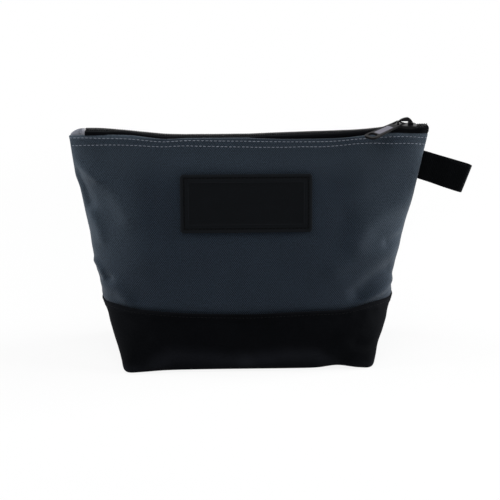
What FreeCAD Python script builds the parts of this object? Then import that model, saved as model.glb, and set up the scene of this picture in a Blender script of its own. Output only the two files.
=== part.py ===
import FreeCAD, Part
import math
import os

# A zippered fabric tool bag that stands on a boxed base, with its mouth zipped shut.
# Millimetres, +Z up, front towards -Y, origin on the floor under the middle of the bag.

# Bag body
TOP_WIDTH = 312.0  # closed mouth, side seam to side seam
MOUTH_DEPTH = 18.0  # over the two hems at the middle of the mouth
HEM_HEIGHT = 204.0
BASE_LENGTH = 220.0
BASE_DEPTH = 94.0
SEAM_HEIGHT = 52.0  # top edge of the base panel
SEAM_WIDTH = 262.0  # bag across its sides at the base panel's top edge
SEAM_DEPTH = 80.0
BASE_SQUARENESS = 18.0  # exponent of the rounded outline at the floor
SEAM_SQUARENESS = 3.0  # the same at the base panel's top edge
TIP_SHARPNESS = 1.7  # how pointed the closed mouth is at the side seams
SIDE_FLARE = 0.85  # how early the base panel's ends swing out
FLOOR_ROUND = 4.5  # soft fold between the floor and the base panel's walls
PANEL_SHARES = (0.33, 0.67, 1.0)  # heights between the seam and the hem that shape the panels
FLOOR_SHARES = (0.0, 0.3, 1.0)  # heights in that fold that shape it

# Cloth
PANEL_CLOTH = 1.0
BASE_CLOTH = 1.2
BASE_LAP = 10.0  # base panel lapped over the upper panels
LAP_GAP = 0.2  # between the base panel and the cloth that it covers
SEAT_GAP = 0.05  # between pieces sewn or laid on each other
FOLD_GAP = 0.2  # between the back panel and its sewn margin, where the cloth folds
SIDE_GAP = 0.3  # between the front and back panels at the side seams

# Bound seam allowances inside the bag
BINDING_WIDTH = 10.0
BINDING_THICKNESS = 1.0
BINDING_GAP = 0.5
BINDING_CORNER = 4.5
BINDING_STEPS = 5
BINDING_TIP_INSET = 2.6
LEFT_BINDING_RISE = 6.5  # the left binding ends above the hem
RIGHT_BINDING_DROP = 6.0  # the right one below it
CORNER_BINDING_SETBACK = 12.0  # from the base panel's long edges
CORNER_BINDING_INSET = 9.0  # from its ends

# Zipper chain
ZIP_LEFT_SETBACK = 15.0  # chain starts this far inside the left side seam
ZIP_RIGHT_OVERHANG = 2.0  # and ends this far past the right one
TAPE = 0.6
TAPE_RISE = 4.5  # upper face of the tape above the hem
TAPE_TUCK = 12.0  # sewn margin inside the hem
TAPE_SHOULDER = 4.3  # where the tape turns down towards the hem
TAPE_PARTING = 0.4  # half the slit between the two tapes
TAPE_GAP = 0.6
TAPE_DETOUR = 0.6  # of a slider length, where the tape passes round the slider
TAPE_RUNOUT_START = 0.25  # of a slider length past the parked slider, where the tape leaves the hem
TAPE_RUNOUT = 0.35
TAPE_PARK_STEPS = (1.0, 9.0, 26.0)  # stations beside the slider at either end of its travel
TAPE_MIDDLE_SHARES = (-0.35, 0.0, 0.35)
TAPE_WEDGE_STEPS = (-2.0, 1.5, 5.0)  # stations along the parked slider
TAPE_NOSE_STEP = 3.0
COIL_HEIGHT = 1.7
COIL_PITCH = 2.0
COIL_HALF_WIDTH = 2.4
COIL_SPINE = 1.2
TOOTH_ROOT = 0.9
TOOTH_TIP = 0.6
COIL_SPREAD_START = 2.0  # coils begin to part this far behind the slider's middle
COIL_SPREAD_RUN = 7.0
COIL_REJOIN = 0.5  # share of the spread that is lost again by the chain's end
TOOTH_GAP = 0.3  # from a tooth's tip to the other coil's spine

# Slider
SLIDER_SETBACK = 21.0  # middle of the parked slider from the chain's closed end
SLIDER_LENGTH = 19.0
SLIDER_NOSE_WIDTH = 13.4
SLIDER_TAIL_WIDTH = 8.0
SLIDER_SHOULDER = 4.0  # widest point, ahead of the middle
SLIDER_PLATE = 1.2
SLIDER_FLANGE = 1.1
SLIDER_CLEARANCE = 0.3
SLIDER_ROUND = 1.8
SLIDER_NOSE_RUN = 1.5  # the nose is cut back over this length
SLIDER_NOSE_CUT = 3.0
WEDGE_HALF_WIDTH = 1.5
WEDGE_START = 2.5
WEDGE_TIP = 0.1  # half width where it starts
WEDGE_SHOULDER = 3.5  # widest point, behind the nose
WEDGE_END = 0.8
WEDGE_TAPER = 0.4
BRIDGE_BACK = 7.6  # towards the closed chain
BRIDGE_FRONT = 6.6
BRIDGE_WIDTH = 2.2
BRIDGE_HEIGHT = 6.3
BRIDGE_CROWN = 9.4  # highest point, ahead of the back leg
BRIDGE_LEG = 1.9
BRIDGE_LEG_HEIGHT = 2.0  # where the back leg bends into the arch
BRIDGE_ARCH_RUN = 2.4  # a point of the arch, ahead of the back leg
BRIDGE_ARCH_HEIGHT = 4.2  # and its height
BRIDGE_SLOPE_RUN = 0.6  # place of the front curve's fullest point along it
BRIDGE_SLOPE_RISE = 0.65  # and up it
WINDOW_LENGTH = 7.7
WINDOW_HEIGHT = 3.0
WINDOW_ROUND = 0.5

# Pull
PULL_LENGTH = 44.5  # eye bar to far end
PULL_NEAR_WIDTH = 8.8  # next to the eye
PULL_WIDTH = 12.6  # at the far end
PULL_THICKNESS = 1.8
PULL_EYE_WIDTH = 8.6
EYE_HALF_WIDTH = 3.2
EYE_LENGTH = 8.6
EYE_BAR = 1.4
EYE_CORNER = 1.0
PULL_LAP = 1.5  # of the body over the end of the eye
PULL_CORNER = 4.6
PULL_SWING = 42.0  # degrees round from the zipper towards the front
PULL_DIP = 7.5  # degrees down from level
PULL_ROLL = 4.0  # degrees down across it towards the front
PULL_PLAY = 0.2  # slack of the eye in the bridge
PULL_SHIFT = 0.65  # hangs to one side of the bridge
PULL_RECESS = 0.35
PULL_RECESS_START = 14.0
PULL_RECESS_LENGTH = 19.2
PULL_RECESS_HALF_WIDTH = 3.4
PULL_RECESS_CORNER = 1.2
PULL_HOLE_SETBACK = 6.4  # from the far end
PULL_HOLE_LENGTH = 6.8
PULL_HOLE_HALF_WIDTH = 4.0
PULL_HOLE_CORNER = 3.0
PULL_BEVEL = 0.35

# Front patch
PATCH_WIDTH = 114.8
PATCH_HEIGHT = 51.0
PATCH_THICKNESS = 2.4
PATCH_CENTRE_X = -2.6
PATCH_GAP = 0.45  # behind the patch, which the sewing closes
PATCH_DROP = 56.6  # middle of the patch below the hem edge
PATCH_CORNER = 3.0
PATCH_RIM = 2.6
GROOVE_WIDTH = 1.4
GROOVE_DEPTH = 0.6

# Side loop of folded webbing
LOOP_WIDTH = 25.4
LOOP_LENGTH = 43.4  # seam to fold along the middle
LOOP_CLOTH = 1.2
LOOP_OPENING = 6.0
LOOP_DROP = 28.9  # middle of the loop below the hem edge
LOOP_DROOP = 18.0  # degrees below level
LOOP_GAP = 0.4
LOOP_NECK = 11.0  # sewn-together length next to the seam
LOOP_WAIST = 0.68  # share of the opening reached half way from the neck to the fold

# Topstitching
STITCH_PITCH = 3.8
STITCH_LENGTH = 2.6
STITCH_STEP = 0.5  # stitches are placed to this length along the hem
THREAD = 0.5
STITCH_LIFT = 0.3
FIRST_ROW = 2.0  # below the hem edge
ROW_SPACING = 6.4
ROW_MARGIN = 6.0  # plain cloth left at each side seam

DENSE_STEPS = 720
TINY = 0.01
OUTLINE_COUNT = 29
TURN_SHARE = 100.0  # length that a turn of one radian counts as when points are spaced
ZIP_LEFT = ZIP_LEFT_SETBACK - TOP_WIDTH / 2
ZIP_RIGHT = TOP_WIDTH / 2 + ZIP_RIGHT_OVERHANG
SLIDER_X = ZIP_RIGHT - SLIDER_SETBACK
PATCH_CENTRE_Z = HEM_HEIGHT - PATCH_DROP
LOOP_CENTRE_Z = HEM_HEIGHT - LOOP_DROP
ROWS_BELOW_HEM = (FIRST_ROW, FIRST_ROW + ROW_SPACING)
TAPE_TOP = HEM_HEIGHT + TAPE_RISE
COIL_TOP = TAPE_TOP + COIL_HEIGHT
PLATE_TOP = COIL_TOP + SLIDER_CLEARANCE + SLIDER_PLATE
PLATE_BOTTOM = TAPE_TOP - TAPE - SLIDER_CLEARANCE - SLIDER_PLATE
COIL_SPREAD = COIL_SPINE + WEDGE_HALF_WIDTH


def vec(x, y, z):
    return FreeCAD.Vector(x, y, z)


def mix(first, last, share):
    return first + (last - first) * share


def ease(share):
    share = min(max(share, 0.0), 1.0)
    return share * share * (3 - 2 * share)


def wall_values(height):
    """Half length, half depth, the two roundness powers and the seam offset at a height."""
    seam_power = 1 / SEAM_SQUARENESS
    if height <= SEAM_HEIGHT:
        share = height / SEAM_HEIGHT
        half_length = mix(BASE_LENGTH, SEAM_WIDTH, share ** SIDE_FLARE) / 2
        half_depth = mix(BASE_DEPTH, SEAM_DEPTH, share) / 2
        power = mix(1 / BASE_SQUARENESS, seam_power, share)
        return half_length, half_depth, power, power, SIDE_GAP / 2
    share = (height - SEAM_HEIGHT) / (HEM_HEIGHT - SEAM_HEIGHT)
    half_length = mix(SEAM_WIDTH, TOP_WIDTH, share) / 2
    half_depth = mix(SEAM_DEPTH, MOUTH_DEPTH, share) / 2
    side_power = mix(seam_power, 1 / TIP_SHARPNESS, share ** 2)
    edge = SIDE_GAP / 2 + PANEL_CLOTH * ease(share)
    return half_length, half_depth, seam_power, side_power, edge


def front_depth(x, height):
    """How far the front panel's face stands forward of the side seams."""
    half_length, half_depth, length_power, depth_power, edge = wall_values(height)
    reach = max(1 - (min(abs(x) / half_length, 1.0)) ** (1 / length_power), 0.0)
    return edge + (half_depth - edge) * reach ** depth_power


def spaced_points(points, count, turn_share=0.0):
    """The same polyline with a set number of points, evenly spaced along it, closer where it turns."""
    headings = [math.atan2(b[1] - a[1], b[0] - a[0]) for a, b in zip(points, points[1:])]
    travelled = [0.0]
    for number, (before, after) in enumerate(zip(points, points[1:])):
        turn = abs(headings[number] - headings[max(number - 1, 0)])
        travelled.append(travelled[-1] + math.dist(before, after) + turn_share * turn)
    result = []
    index = 0
    for number in range(count):
        target = travelled[-1] * number / (count - 1)
        while index < len(points) - 2 and travelled[index + 1] < target:
            index += 1
        share = (target - travelled[index]) / (travelled[index + 1] - travelled[index])
        result.append(tuple(mix(a, b, share) for a, b in zip(points[index], points[index + 1])))
    return result


def front_outline(height, outset=0.0):
    """Front half of the bag's outline at a height, from the left side seam to the right."""
    half_length, half_depth, length_power, depth_power, edge = wall_values(height)
    half_length += outset
    depth = half_depth + outset - edge
    dense = []
    for step in range(DENSE_STEPS + 1):
        angle = math.pi * step / DENSE_STEPS - math.pi / 2
        sine = math.sin(angle)
        cosine = max(math.cos(angle), 0.0)
        x = math.copysign(half_length * abs(sine) ** (2 * length_power), sine)
        dense.append((x, -(edge + depth * cosine ** (2 * depth_power))))
    return spaced_points(dense, OUTLINE_COUNT, TURN_SHARE)


def closed_wire(points):
    return Part.makePolygon(points + points[:1])


def straight(first, last):
    return Part.LineSegment(first, last).toShape()


def band(height):
    """Closed section of an upper panel: its outer face and its inner face, one cloth apart."""
    outer = front_outline(height)
    inner = front_outline(height, -PANEL_CLOTH)
    return [vec(x, y, height) for x, y in outer + inner[::-1]]


def ring(height, shape_height, outset):
    """Closed section of the base panel, joined at the middle of both ends."""
    front = front_outline(shape_height, outset)
    front[0] = (front[0][0], 0.0)
    front[-1] = (front[-1][0], 0.0)
    back = [(x, -y) for x, y in front[-2:0:-1]]
    return [vec(x, y, height) for x, y in front + back]


def skinned(sections):
    """A solid in flat facets over a run of sections that have as many points each."""
    faces = [Part.Face(closed_wire(sections[0])), Part.Face(closed_wire(sections[-1]))]
    for before, after in zip(sections, sections[1:]):
        for number in range(len(before)):
            first = before[number - 1]
            last = after[number]
            faces.append(Part.Face(closed_wire([first, before[number], last])))
            faces.append(Part.Face(closed_wire([first, last, after[number - 1]])))
    shell = Part.makeShell(faces)
    shell.sewShape()
    solid = Part.makeSolid(shell)
    if solid.Volume < 0:
        solid.reverse()
    return solid


def mirrored(shape, normal):
    return shape.mirror(vec(0, 0, 0), normal)


def upper_panel(bottom):
    """An upper panel from a height up to its hem."""
    lower_row = HEM_HEIGHT - max(ROWS_BELOW_HEM)
    heights = [bottom]
    if bottom < SEAM_HEIGHT:
        heights.append(SEAM_HEIGHT)
    for share in PANEL_SHARES:
        heights.append(mix(SEAM_HEIGHT, lower_row, share))
    heights.append(HEM_HEIGHT)
    return skinned([band(height) for height in heights])


def sewn_margin():
    """Lower margin of the back panel, held under the base panel's edge."""
    return skinned([band(SEAM_HEIGHT - BASE_LAP), band(SEAM_HEIGHT)])


def base_sections(outset, floor):
    """Sections of the base panel's outer or inner face from its floor up, rounded in below."""
    sections = []
    for share in FLOOR_SHARES:
        drawn_in = FLOOR_ROUND * (1 - math.sqrt(1 - (1 - share) ** 2))
        height = floor + share * FLOOR_ROUND
        sections.append(ring(height, height, outset - drawn_in))
    lap = SEAM_HEIGHT - BASE_LAP
    for height in (mix(FLOOR_ROUND, lap, 0.5), lap, SEAM_HEIGHT):
        sections.append(ring(height, height, outset))
    return sections


def base_panel():
    outer = base_sections(LAP_GAP + BASE_CLOTH, 0.0)
    inner = base_sections(LAP_GAP, BASE_CLOTH)
    return skinned(outer + inner[::-1])


def side_binding(top, rise):
    """Bound allowance of the right side seam, standing inwards from the seam behind the front panel."""
    bottom = SEAM_HEIGHT - BASE_LAP
    wires = []
    heights = [mix(bottom, top, step / BINDING_STEPS) for step in range(BINDING_STEPS + 1)]
    if rise > 0:
        heights.append(top + rise)
    for height in heights:
        share = ease((height - SEAM_HEIGHT) / (HEM_HEIGHT - SEAM_HEIGHT))
        half_length = wall_values(min(height, HEM_HEIGHT))[0]
        outer = half_length - PANEL_CLOTH - BINDING_GAP - BINDING_TIP_INSET * share
        inner = outer - BINDING_WIDTH
        near = -SIDE_GAP / 2
        far = near - BINDING_THICKNESS
        corners = [(outer, far), (outer, near), (inner, near), (inner, far)]
        points = [vec(x, y, height) for x, y in corners]
        wires.append(closed_wire(points))
    return Part.makeLoft(wires, True, True)


def corner_binding():
    """Bound allowance of the boxed corner on the right, standing on the base panel's floor."""
    length = BASE_DEPTH - 2 * CORNER_BINDING_SETBACK
    strip = Part.makeBox(BINDING_THICKNESS, length, BINDING_WIDTH)
    edges = [edge for edge in strip.Edges if abs(edge.BoundBox.XLength - BINDING_THICKNESS) < TINY]
    strip = strip.makeFillet(BINDING_CORNER, [edge for edge in edges if edge.BoundBox.ZMin > TINY])
    x = BASE_LENGTH / 2 - CORNER_BINDING_INSET
    strip.translate(vec(x, -length / 2, BASE_CLOTH + SEAT_GAP))
    return strip


def coil_shift(x):
    """Sideways spread of a coil round the slider's wedge, easing back towards the end."""
    apart = ease((x - SLIDER_X + COIL_SPREAD_START) / COIL_SPREAD_RUN)
    nose = SLIDER_X + SLIDER_LENGTH / 2
    back = COIL_REJOIN * ease((x - nose) / (ZIP_RIGHT - nose))
    return COIL_SPREAD * apart * (1 - back)


def front_coil(phase):
    """Comb of moulded coil loops along the front tape, teeth reaching past the middle line."""
    outer_y = -COIL_HALF_WIDTH
    root_y = outer_y + COIL_SPINE
    tip_y = -root_y - TOOTH_GAP
    outline = [(ZIP_LEFT, root_y)]
    count = int((ZIP_RIGHT - ZIP_LEFT) / COIL_PITCH)
    for number in range(count):
        middle = ZIP_LEFT + (number + phase) * COIL_PITCH
        outline.append((middle - TOOTH_ROOT / 2, root_y))
        outline.append((middle - TOOTH_TIP / 2, tip_y))
        outline.append((middle + TOOTH_TIP / 2, tip_y))
        outline.append((middle + TOOTH_ROOT / 2, root_y))
    outline.append((ZIP_RIGHT, root_y))
    outline.append((ZIP_RIGHT, outer_y))
    for share in (0.5, 0.0, -0.25, -0.5):
        outline.append((SLIDER_X + SLIDER_LENGTH * share, outer_y))
    outline.append((ZIP_LEFT, outer_y))
    points = [vec(x, y - coil_shift(x), TAPE_TOP + SEAT_GAP) for x, y in outline]
    return Part.Face(closed_wire(points)).extrude(vec(0, 0, COIL_HEIGHT - SEAT_GAP))


def tape_section(x):
    """Closed section of the front tape: level under the coil, over its shoulder, down into the hem."""
    from_park = abs(abs(x) - SLIDER_X)
    at_slider = 1 - ease((from_park - SLIDER_LENGTH * TAPE_DETOUR) / SLIDER_LENGTH)
    runout = abs(x) - SLIDER_X - SLIDER_LENGTH * TAPE_RUNOUT_START
    past = ease(runout / (SLIDER_LENGTH * TAPE_RUNOUT))
    inner_edge = TAPE_PARTING + coil_shift(x)
    shoulder = mix(TAPE_SHOULDER, SLIDER_NOSE_WIDTH / 2 + TAPE + SLIDER_CLEARANCE, at_slider)
    hem_y = max(front_depth(x, HEM_HEIGHT) - PANEL_CLOTH - TAPE_GAP, TAPE + TAPE_GAP)
    lip = HEM_HEIGHT + TAPE_GAP
    elbow_y = mix(mix(shoulder, hem_y, 0.5), shoulder, at_slider)
    elbow_z = mix(mix(TAPE_TOP, lip, 0.5), PLATE_BOTTOM - SLIDER_CLEARANCE - TAPE, at_slider)
    hem_bottom = lip - TAPE_TUCK * (1 - past) - TAPE_GAP / 2
    outer = [(inner_edge, TAPE_TOP), (shoulder, TAPE_TOP), (elbow_y, elbow_z)]
    outer += [(hem_y, lip), (hem_y, hem_bottom)]
    under = TAPE_TOP - TAPE
    inner_elbow = elbow_z + TAPE * at_slider
    inner = [(inner_edge, under), (shoulder - TAPE, under), (elbow_y - TAPE, inner_elbow)]
    inner += [(hem_y - TAPE, lip + TAPE * at_slider), (hem_y - TAPE, hem_bottom)]
    return [vec(x, -y, z) for y, z in outer + inner[::-1]]


def front_tape():
    half = SLIDER_LENGTH / 2
    stations = [ZIP_LEFT]
    stations += [half + step - SLIDER_X for step in TAPE_PARK_STEPS]
    stations += [share * SLIDER_X for share in TAPE_MIDDLE_SHARES]
    stations += [SLIDER_X - half - step for step in reversed(TAPE_PARK_STEPS)]
    stations += [SLIDER_X + step for step in TAPE_WEDGE_STEPS]
    stations.append(SLIDER_X + half + TAPE_NOSE_STEP)
    stations.append(ZIP_RIGHT)
    return skinned([tape_section(x) for x in stations])


def slider_outline(inset):
    """Plan of the slider, narrow at the closed chain and wide at its nose."""
    half = SLIDER_LENGTH / 2
    tail = SLIDER_TAIL_WIDTH / 2 - inset
    nose = SLIDER_NOSE_WIDTH / 2 - inset
    right = [(-half, tail), (SLIDER_SHOULDER, nose)]
    right += [(half - SLIDER_NOSE_RUN, nose), (half, nose - SLIDER_NOSE_CUT)]
    outline = right + [(x, -y) for x, y in reversed(right)]
    points = [vec(SLIDER_X + x, y, 0) for x, y in outline]
    return Part.Face(closed_wire(points))


def slab(face, bottom, top):
    solid = face.extrude(vec(0, 0, top - bottom))
    solid.translate(vec(0, 0, bottom))
    return solid


def rounded_upright(solid, radius):
    """A plate with its upright edges rounded."""
    edges = [edge for edge in solid.Edges if edge.BoundBox.ZLength > TINY and edge.BoundBox.XLength < TINY]
    return solid.makeFillet(radius, edges)


def bridge():
    """Arched bar over the slider that holds the pull."""
    back = SLIDER_X - BRIDGE_BACK
    front = SLIDER_X + BRIDGE_FRONT
    foot = PLATE_TOP - SLIDER_PLATE / 2
    crown = PLATE_TOP + BRIDGE_HEIGHT
    back_foot = vec(back, 0, foot)
    back_low = vec(back, 0, PLATE_TOP + BRIDGE_LEG_HEIGHT)
    arch_middle = vec(back + BRIDGE_ARCH_RUN, 0, PLATE_TOP + BRIDGE_ARCH_HEIGHT)
    front_top = vec(back + BRIDGE_CROWN, 0, crown)
    front_low = vec(front, 0, PLATE_TOP + SLIDER_PLATE / 2)
    front_foot = vec(front, 0, foot)
    bulge = vec(mix(front_top.x, front, BRIDGE_SLOPE_RUN), 0, mix(front_low.z, crown, BRIDGE_SLOPE_RISE))
    edges = [
        straight(back_foot, back_low),
        Part.Arc(back_low, arch_middle, front_top).toShape(),
        Part.Arc(front_top, bulge, front_low).toShape(),
        straight(front_low, front_foot),
        straight(front_foot, back_foot),
    ]
    arch = Part.Face(Part.Wire(edges)).extrude(vec(0, BRIDGE_WIDTH, 0))
    window = Part.makeBox(WINDOW_LENGTH, BRIDGE_WIDTH, WINDOW_HEIGHT)
    window.translate(vec(back + BRIDGE_LEG, 0, PLATE_TOP))
    crossing = [edge for edge in window.Edges if edge.BoundBox.YLength > BRIDGE_WIDTH / 2]
    top_edges = [edge for edge in crossing if edge.BoundBox.ZMin > PLATE_TOP + SLIDER_PLATE]
    solid = arch.cut(window.makeFillet(WINDOW_ROUND, top_edges))
    solid.translate(vec(0, -BRIDGE_WIDTH / 2, 0))
    return solid


def slider_body():
    inner_top = COIL_TOP + SLIDER_CLEARANCE
    inner_bottom = TAPE_TOP - TAPE - SLIDER_CLEARANCE
    slot_top = TAPE_TOP + SLIDER_CLEARANCE
    plate = slider_outline(0.0)
    upper = rounded_upright(slab(plate, inner_top, PLATE_TOP), SLIDER_ROUND)
    lower = rounded_upright(slab(plate, inner_bottom - SLIDER_PLATE, inner_bottom), SLIDER_ROUND)
    walls = rounded_upright(slab(plate, slot_top, inner_top), SLIDER_ROUND)
    channel = slab(slider_outline(SLIDER_FLANGE), slot_top, inner_top)
    through = Part.makeBox(SLIDER_LENGTH, SLIDER_TAIL_WIDTH - 2 * SLIDER_FLANGE, inner_top - slot_top)
    through.translate(vec(SLIDER_X - SLIDER_LENGTH / 2, SLIDER_FLANGE - SLIDER_TAIL_WIDTH / 2, slot_top))
    nose_width = SLIDER_NOSE_WIDTH - 2 * SLIDER_FLANGE
    mouth = Part.makeBox(SLIDER_LENGTH / 2, nose_width, inner_top - slot_top)
    mouth.translate(vec(SLIDER_X + SLIDER_SHOULDER, -nose_width / 2, slot_top))
    flanges = walls.cut(channel).cut(through).cut(mouth)
    half = SLIDER_LENGTH / 2
    wedge_side = [(WEDGE_START, WEDGE_TIP), (half - WEDGE_SHOULDER, WEDGE_HALF_WIDTH)]
    wedge_side.append((half - WEDGE_END, WEDGE_HALF_WIDTH - WEDGE_TAPER))
    wedge_outline = wedge_side + [(x, -y) for x, y in reversed(wedge_side)]
    points = [vec(SLIDER_X + x, y, 0) for x, y in wedge_outline]
    wedge_face = Part.Face(closed_wire(points))
    wedge = slab(wedge_face, inner_bottom - SLIDER_PLATE / 2, inner_top + SLIDER_PLATE / 2)
    return upper.fuse([flanges, wedge, lower, bridge()]).removeSplitter()


def placed(shape, origin, along, across, out):
    """A shape moved from its own axes to a place on the bag."""
    matrix = FreeCAD.Matrix(
        along.x, across.x, out.x, origin.x,
        along.y, across.y, out.y, origin.y,
        along.z, across.z, out.z, origin.z,
        0, 0, 0, 1,
    )
    return shape.transformed(matrix)


def rounded_plate(length, width, height, radius):
    """A plate centred on its own origin, standing on it, with rounded corners."""
    plate = Part.makeBox(length, width, height)
    plate.translate(vec(-length / 2, -width / 2, 0))
    edges = [edge for edge in plate.Edges if edge.BoundBox.ZLength > height - TINY]
    return plate.makeFillet(radius, edges)


def pull_axes():
    swing = math.radians(PULL_SWING)
    dip = math.radians(PULL_DIP)
    along = vec(-math.cos(swing) * math.cos(dip), -math.sin(swing) * math.cos(dip), -math.sin(dip))
    roll = math.radians(PULL_ROLL)
    level = vec(math.sin(swing), -math.cos(swing), 0)
    across = level * math.cos(roll) - along.cross(level) * math.sin(roll)
    out = along.cross(across)
    return along, across, out


def pull_pivot():
    """Middle of the eye's end bar, hung in the corner of the bridge's window."""
    across = pull_axes()[1]
    inside = EYE_BAR / 2 + SLIDER_CLEARANCE + PULL_PLAY
    run = BRIDGE_WIDTH / 2 / abs(across.y)
    x = SLIDER_X - BRIDGE_BACK + BRIDGE_LEG + inside + run * abs(across.x)
    z = PLATE_TOP + WINDOW_HEIGHT - inside - run * abs(across.z)
    return vec(x, 0, z)


def pull_body():
    """Flat grip that widens to its rounded far end, with its edges broken."""
    start = EYE_LENGTH - PULL_LAP
    half = PULL_THICKNESS / 2
    outline = [(start, PULL_NEAR_WIDTH / 2), (start, -PULL_NEAR_WIDTH / 2)]
    outline += [(PULL_LENGTH, -PULL_WIDTH / 2), (PULL_LENGTH, PULL_WIDTH / 2)]
    face = Part.Face(closed_wire([vec(x, y, -half) for x, y in outline]))
    body = face.extrude(vec(0, 0, PULL_THICKNESS))
    upright = [edge for edge in body.Edges if edge.BoundBox.ZLength > PULL_THICKNESS - TINY]
    body = body.makeFillet(PULL_CORNER, [edge for edge in upright if edge.BoundBox.XMin > start + TINY])
    return body.makeChamfer(PULL_BEVEL, [edge for edge in body.Edges if edge.BoundBox.ZLength < TINY])


def pull_tab():
    half = PULL_THICKNESS / 2
    eye_length = EYE_LENGTH + 2 * PULL_LAP
    eye = Part.makeBox(eye_length, PULL_EYE_WIDTH, EYE_BAR)
    eye.translate(vec(0, -PULL_EYE_WIDTH / 2, -EYE_BAR / 2))
    bar = Part.makeCylinder(EYE_BAR / 2, PULL_EYE_WIDTH, vec(0, -PULL_EYE_WIDTH / 2, 0), vec(0, 1, 0))
    eye_hole = rounded_plate(EYE_LENGTH + EYE_CORNER, 2 * EYE_HALF_WIDTH, 2 * EYE_BAR, EYE_CORNER)
    eye_hole.translate(vec((EYE_LENGTH - EYE_CORNER) / 2, 0, -EYE_BAR))
    pull = pull_body().fuse(eye).cut(eye_hole).fuse(bar)
    end_hole = rounded_plate(PULL_HOLE_LENGTH, 2 * PULL_HOLE_HALF_WIDTH, 2 * PULL_THICKNESS, PULL_HOLE_CORNER)
    end_hole.translate(vec(PULL_LENGTH - PULL_HOLE_SETBACK, 0, -PULL_THICKNESS))
    recess_width = 2 * PULL_RECESS_HALF_WIDTH
    recess = rounded_plate(PULL_RECESS_LENGTH, recess_width, 2 * PULL_THICKNESS, PULL_RECESS_CORNER)
    recess_middle = PULL_RECESS_START + PULL_RECESS_LENGTH / 2
    front_recess = recess.copy()
    front_recess.translate(vec(recess_middle, 0, half - PULL_RECESS))
    back_recess = recess.copy()
    back_recess.translate(vec(recess_middle, 0, PULL_RECESS - half - 2 * PULL_THICKNESS))
    pull = pull.cut(end_hole).cut(front_recess).cut(back_recess).removeSplitter()
    along, across, out = pull_axes()
    return placed(pull, pull_pivot() - across * PULL_SHIFT, along, across, out)


def patch_frame():
    """Place and axes of the patch on the front panel's face."""
    below = front_depth(PATCH_CENTRE_X, PATCH_CENTRE_Z - PATCH_HEIGHT / 2)
    above = front_depth(PATCH_CENTRE_X, PATCH_CENTRE_Z + PATCH_HEIGHT / 2)
    up = vec(0, below - above, PATCH_HEIGHT).normalize()
    right = vec(1, 0, 0)
    depth = front_depth(PATCH_CENTRE_X, PATCH_CENTRE_Z)
    return vec(PATCH_CENTRE_X, -depth, PATCH_CENTRE_Z), right, up, right.cross(up)


def patch_sag():
    """How far the panel's face falls back at the patch's side edges."""
    middle = front_depth(PATCH_CENTRE_X, PATCH_CENTRE_Z)
    return middle - front_depth(PATCH_CENTRE_X + PATCH_WIDTH / 2, PATCH_CENTRE_Z)


def curved_layer(bottom, top):
    """A layer wider than the patch, bent across its width to lie on the panel."""
    half = PATCH_WIDTH / 2 + PATCH_CORNER
    low = -PATCH_HEIGHT / 2 - PATCH_CORNER
    sag = patch_sag() * (half / (PATCH_WIDTH / 2)) ** 2
    under = Part.Arc(vec(-half, low, bottom - sag), vec(0, low, bottom), vec(half, low, bottom - sag))
    over = Part.Arc(vec(half, low, top - sag), vec(0, low, top), vec(-half, low, top - sag))
    right = straight(vec(half, low, bottom - sag), vec(half, low, top - sag))
    left = straight(vec(-half, low, top - sag), vec(-half, low, bottom - sag))
    face = Part.Face(Part.Wire([under.toShape(), right, over.toShape(), left]))
    return face.extrude(vec(0, -2 * low, 0))


def patch_block(inset):
    """Upright block over the patch's plan, drawn in from its edge."""
    depth = 8 * PATCH_THICKNESS
    block = Part.makeBox(PATCH_WIDTH - 2 * inset, PATCH_HEIGHT - 2 * inset, depth)
    block.translate(vec(inset - PATCH_WIDTH / 2, inset - PATCH_HEIGHT / 2, -depth / 2))
    return block


def front_patch():
    """Moulded patch with a raised rim and a sewing groove inside it."""
    groove = patch_block(PATCH_RIM).cut(patch_block(PATCH_RIM + GROOVE_WIDTH))
    trench = curved_layer(PATCH_THICKNESS - GROOVE_DEPTH, 2 * PATCH_THICKNESS).common(groove)
    block = patch_block(0.0)
    corners = [edge for edge in block.Edges if edge.BoundBox.ZLength > PATCH_THICKNESS]
    block = block.makeFillet(PATCH_CORNER, corners)
    patch = curved_layer(PATCH_GAP, PATCH_THICKNESS).common(block).cut(trench)
    return placed(patch, *patch_frame())


def stitch(middle, along, out):
    """One short bridge of thread lying on a face, ridged along its middle."""
    side = out.cross(along) * (THREAD / 2)
    start = middle - along * (STITCH_LENGTH / 2)
    ridge = [start - side, start + side, start + out * THREAD]
    return Part.Face(closed_wire(ridge)).extrude(along * STITCH_LENGTH)


def patch_stitching():
    origin, right, up, out = patch_frame()
    inset = PATCH_RIM + GROOVE_WIDTH / 2
    half_width = PATCH_WIDTH / 2 - inset
    half_height = PATCH_HEIGHT / 2 - inset
    floor = PATCH_THICKNESS - GROOVE_DEPTH + SEAT_GAP
    sag = patch_sag()
    threads = []
    rows = ((half_width, half_height, right, up), (half_height, half_width, up, right))
    for half, other, along, across in rows:
        count = int((2 * half - STITCH_PITCH) / STITCH_PITCH)
        for number in range(count + 1):
            run = (number - count / 2) * STITCH_PITCH
            for side in (-1, 1):
                middle = origin + along * run + across * (side * other)
                from_centre = (middle - origin).dot(right)
                fall = sag * (from_centre / (PATCH_WIDTH / 2)) ** 2
                threads.append(stitch(middle + out * (floor - fall), along, out))
    return Part.makeCompound(threads)


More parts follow.
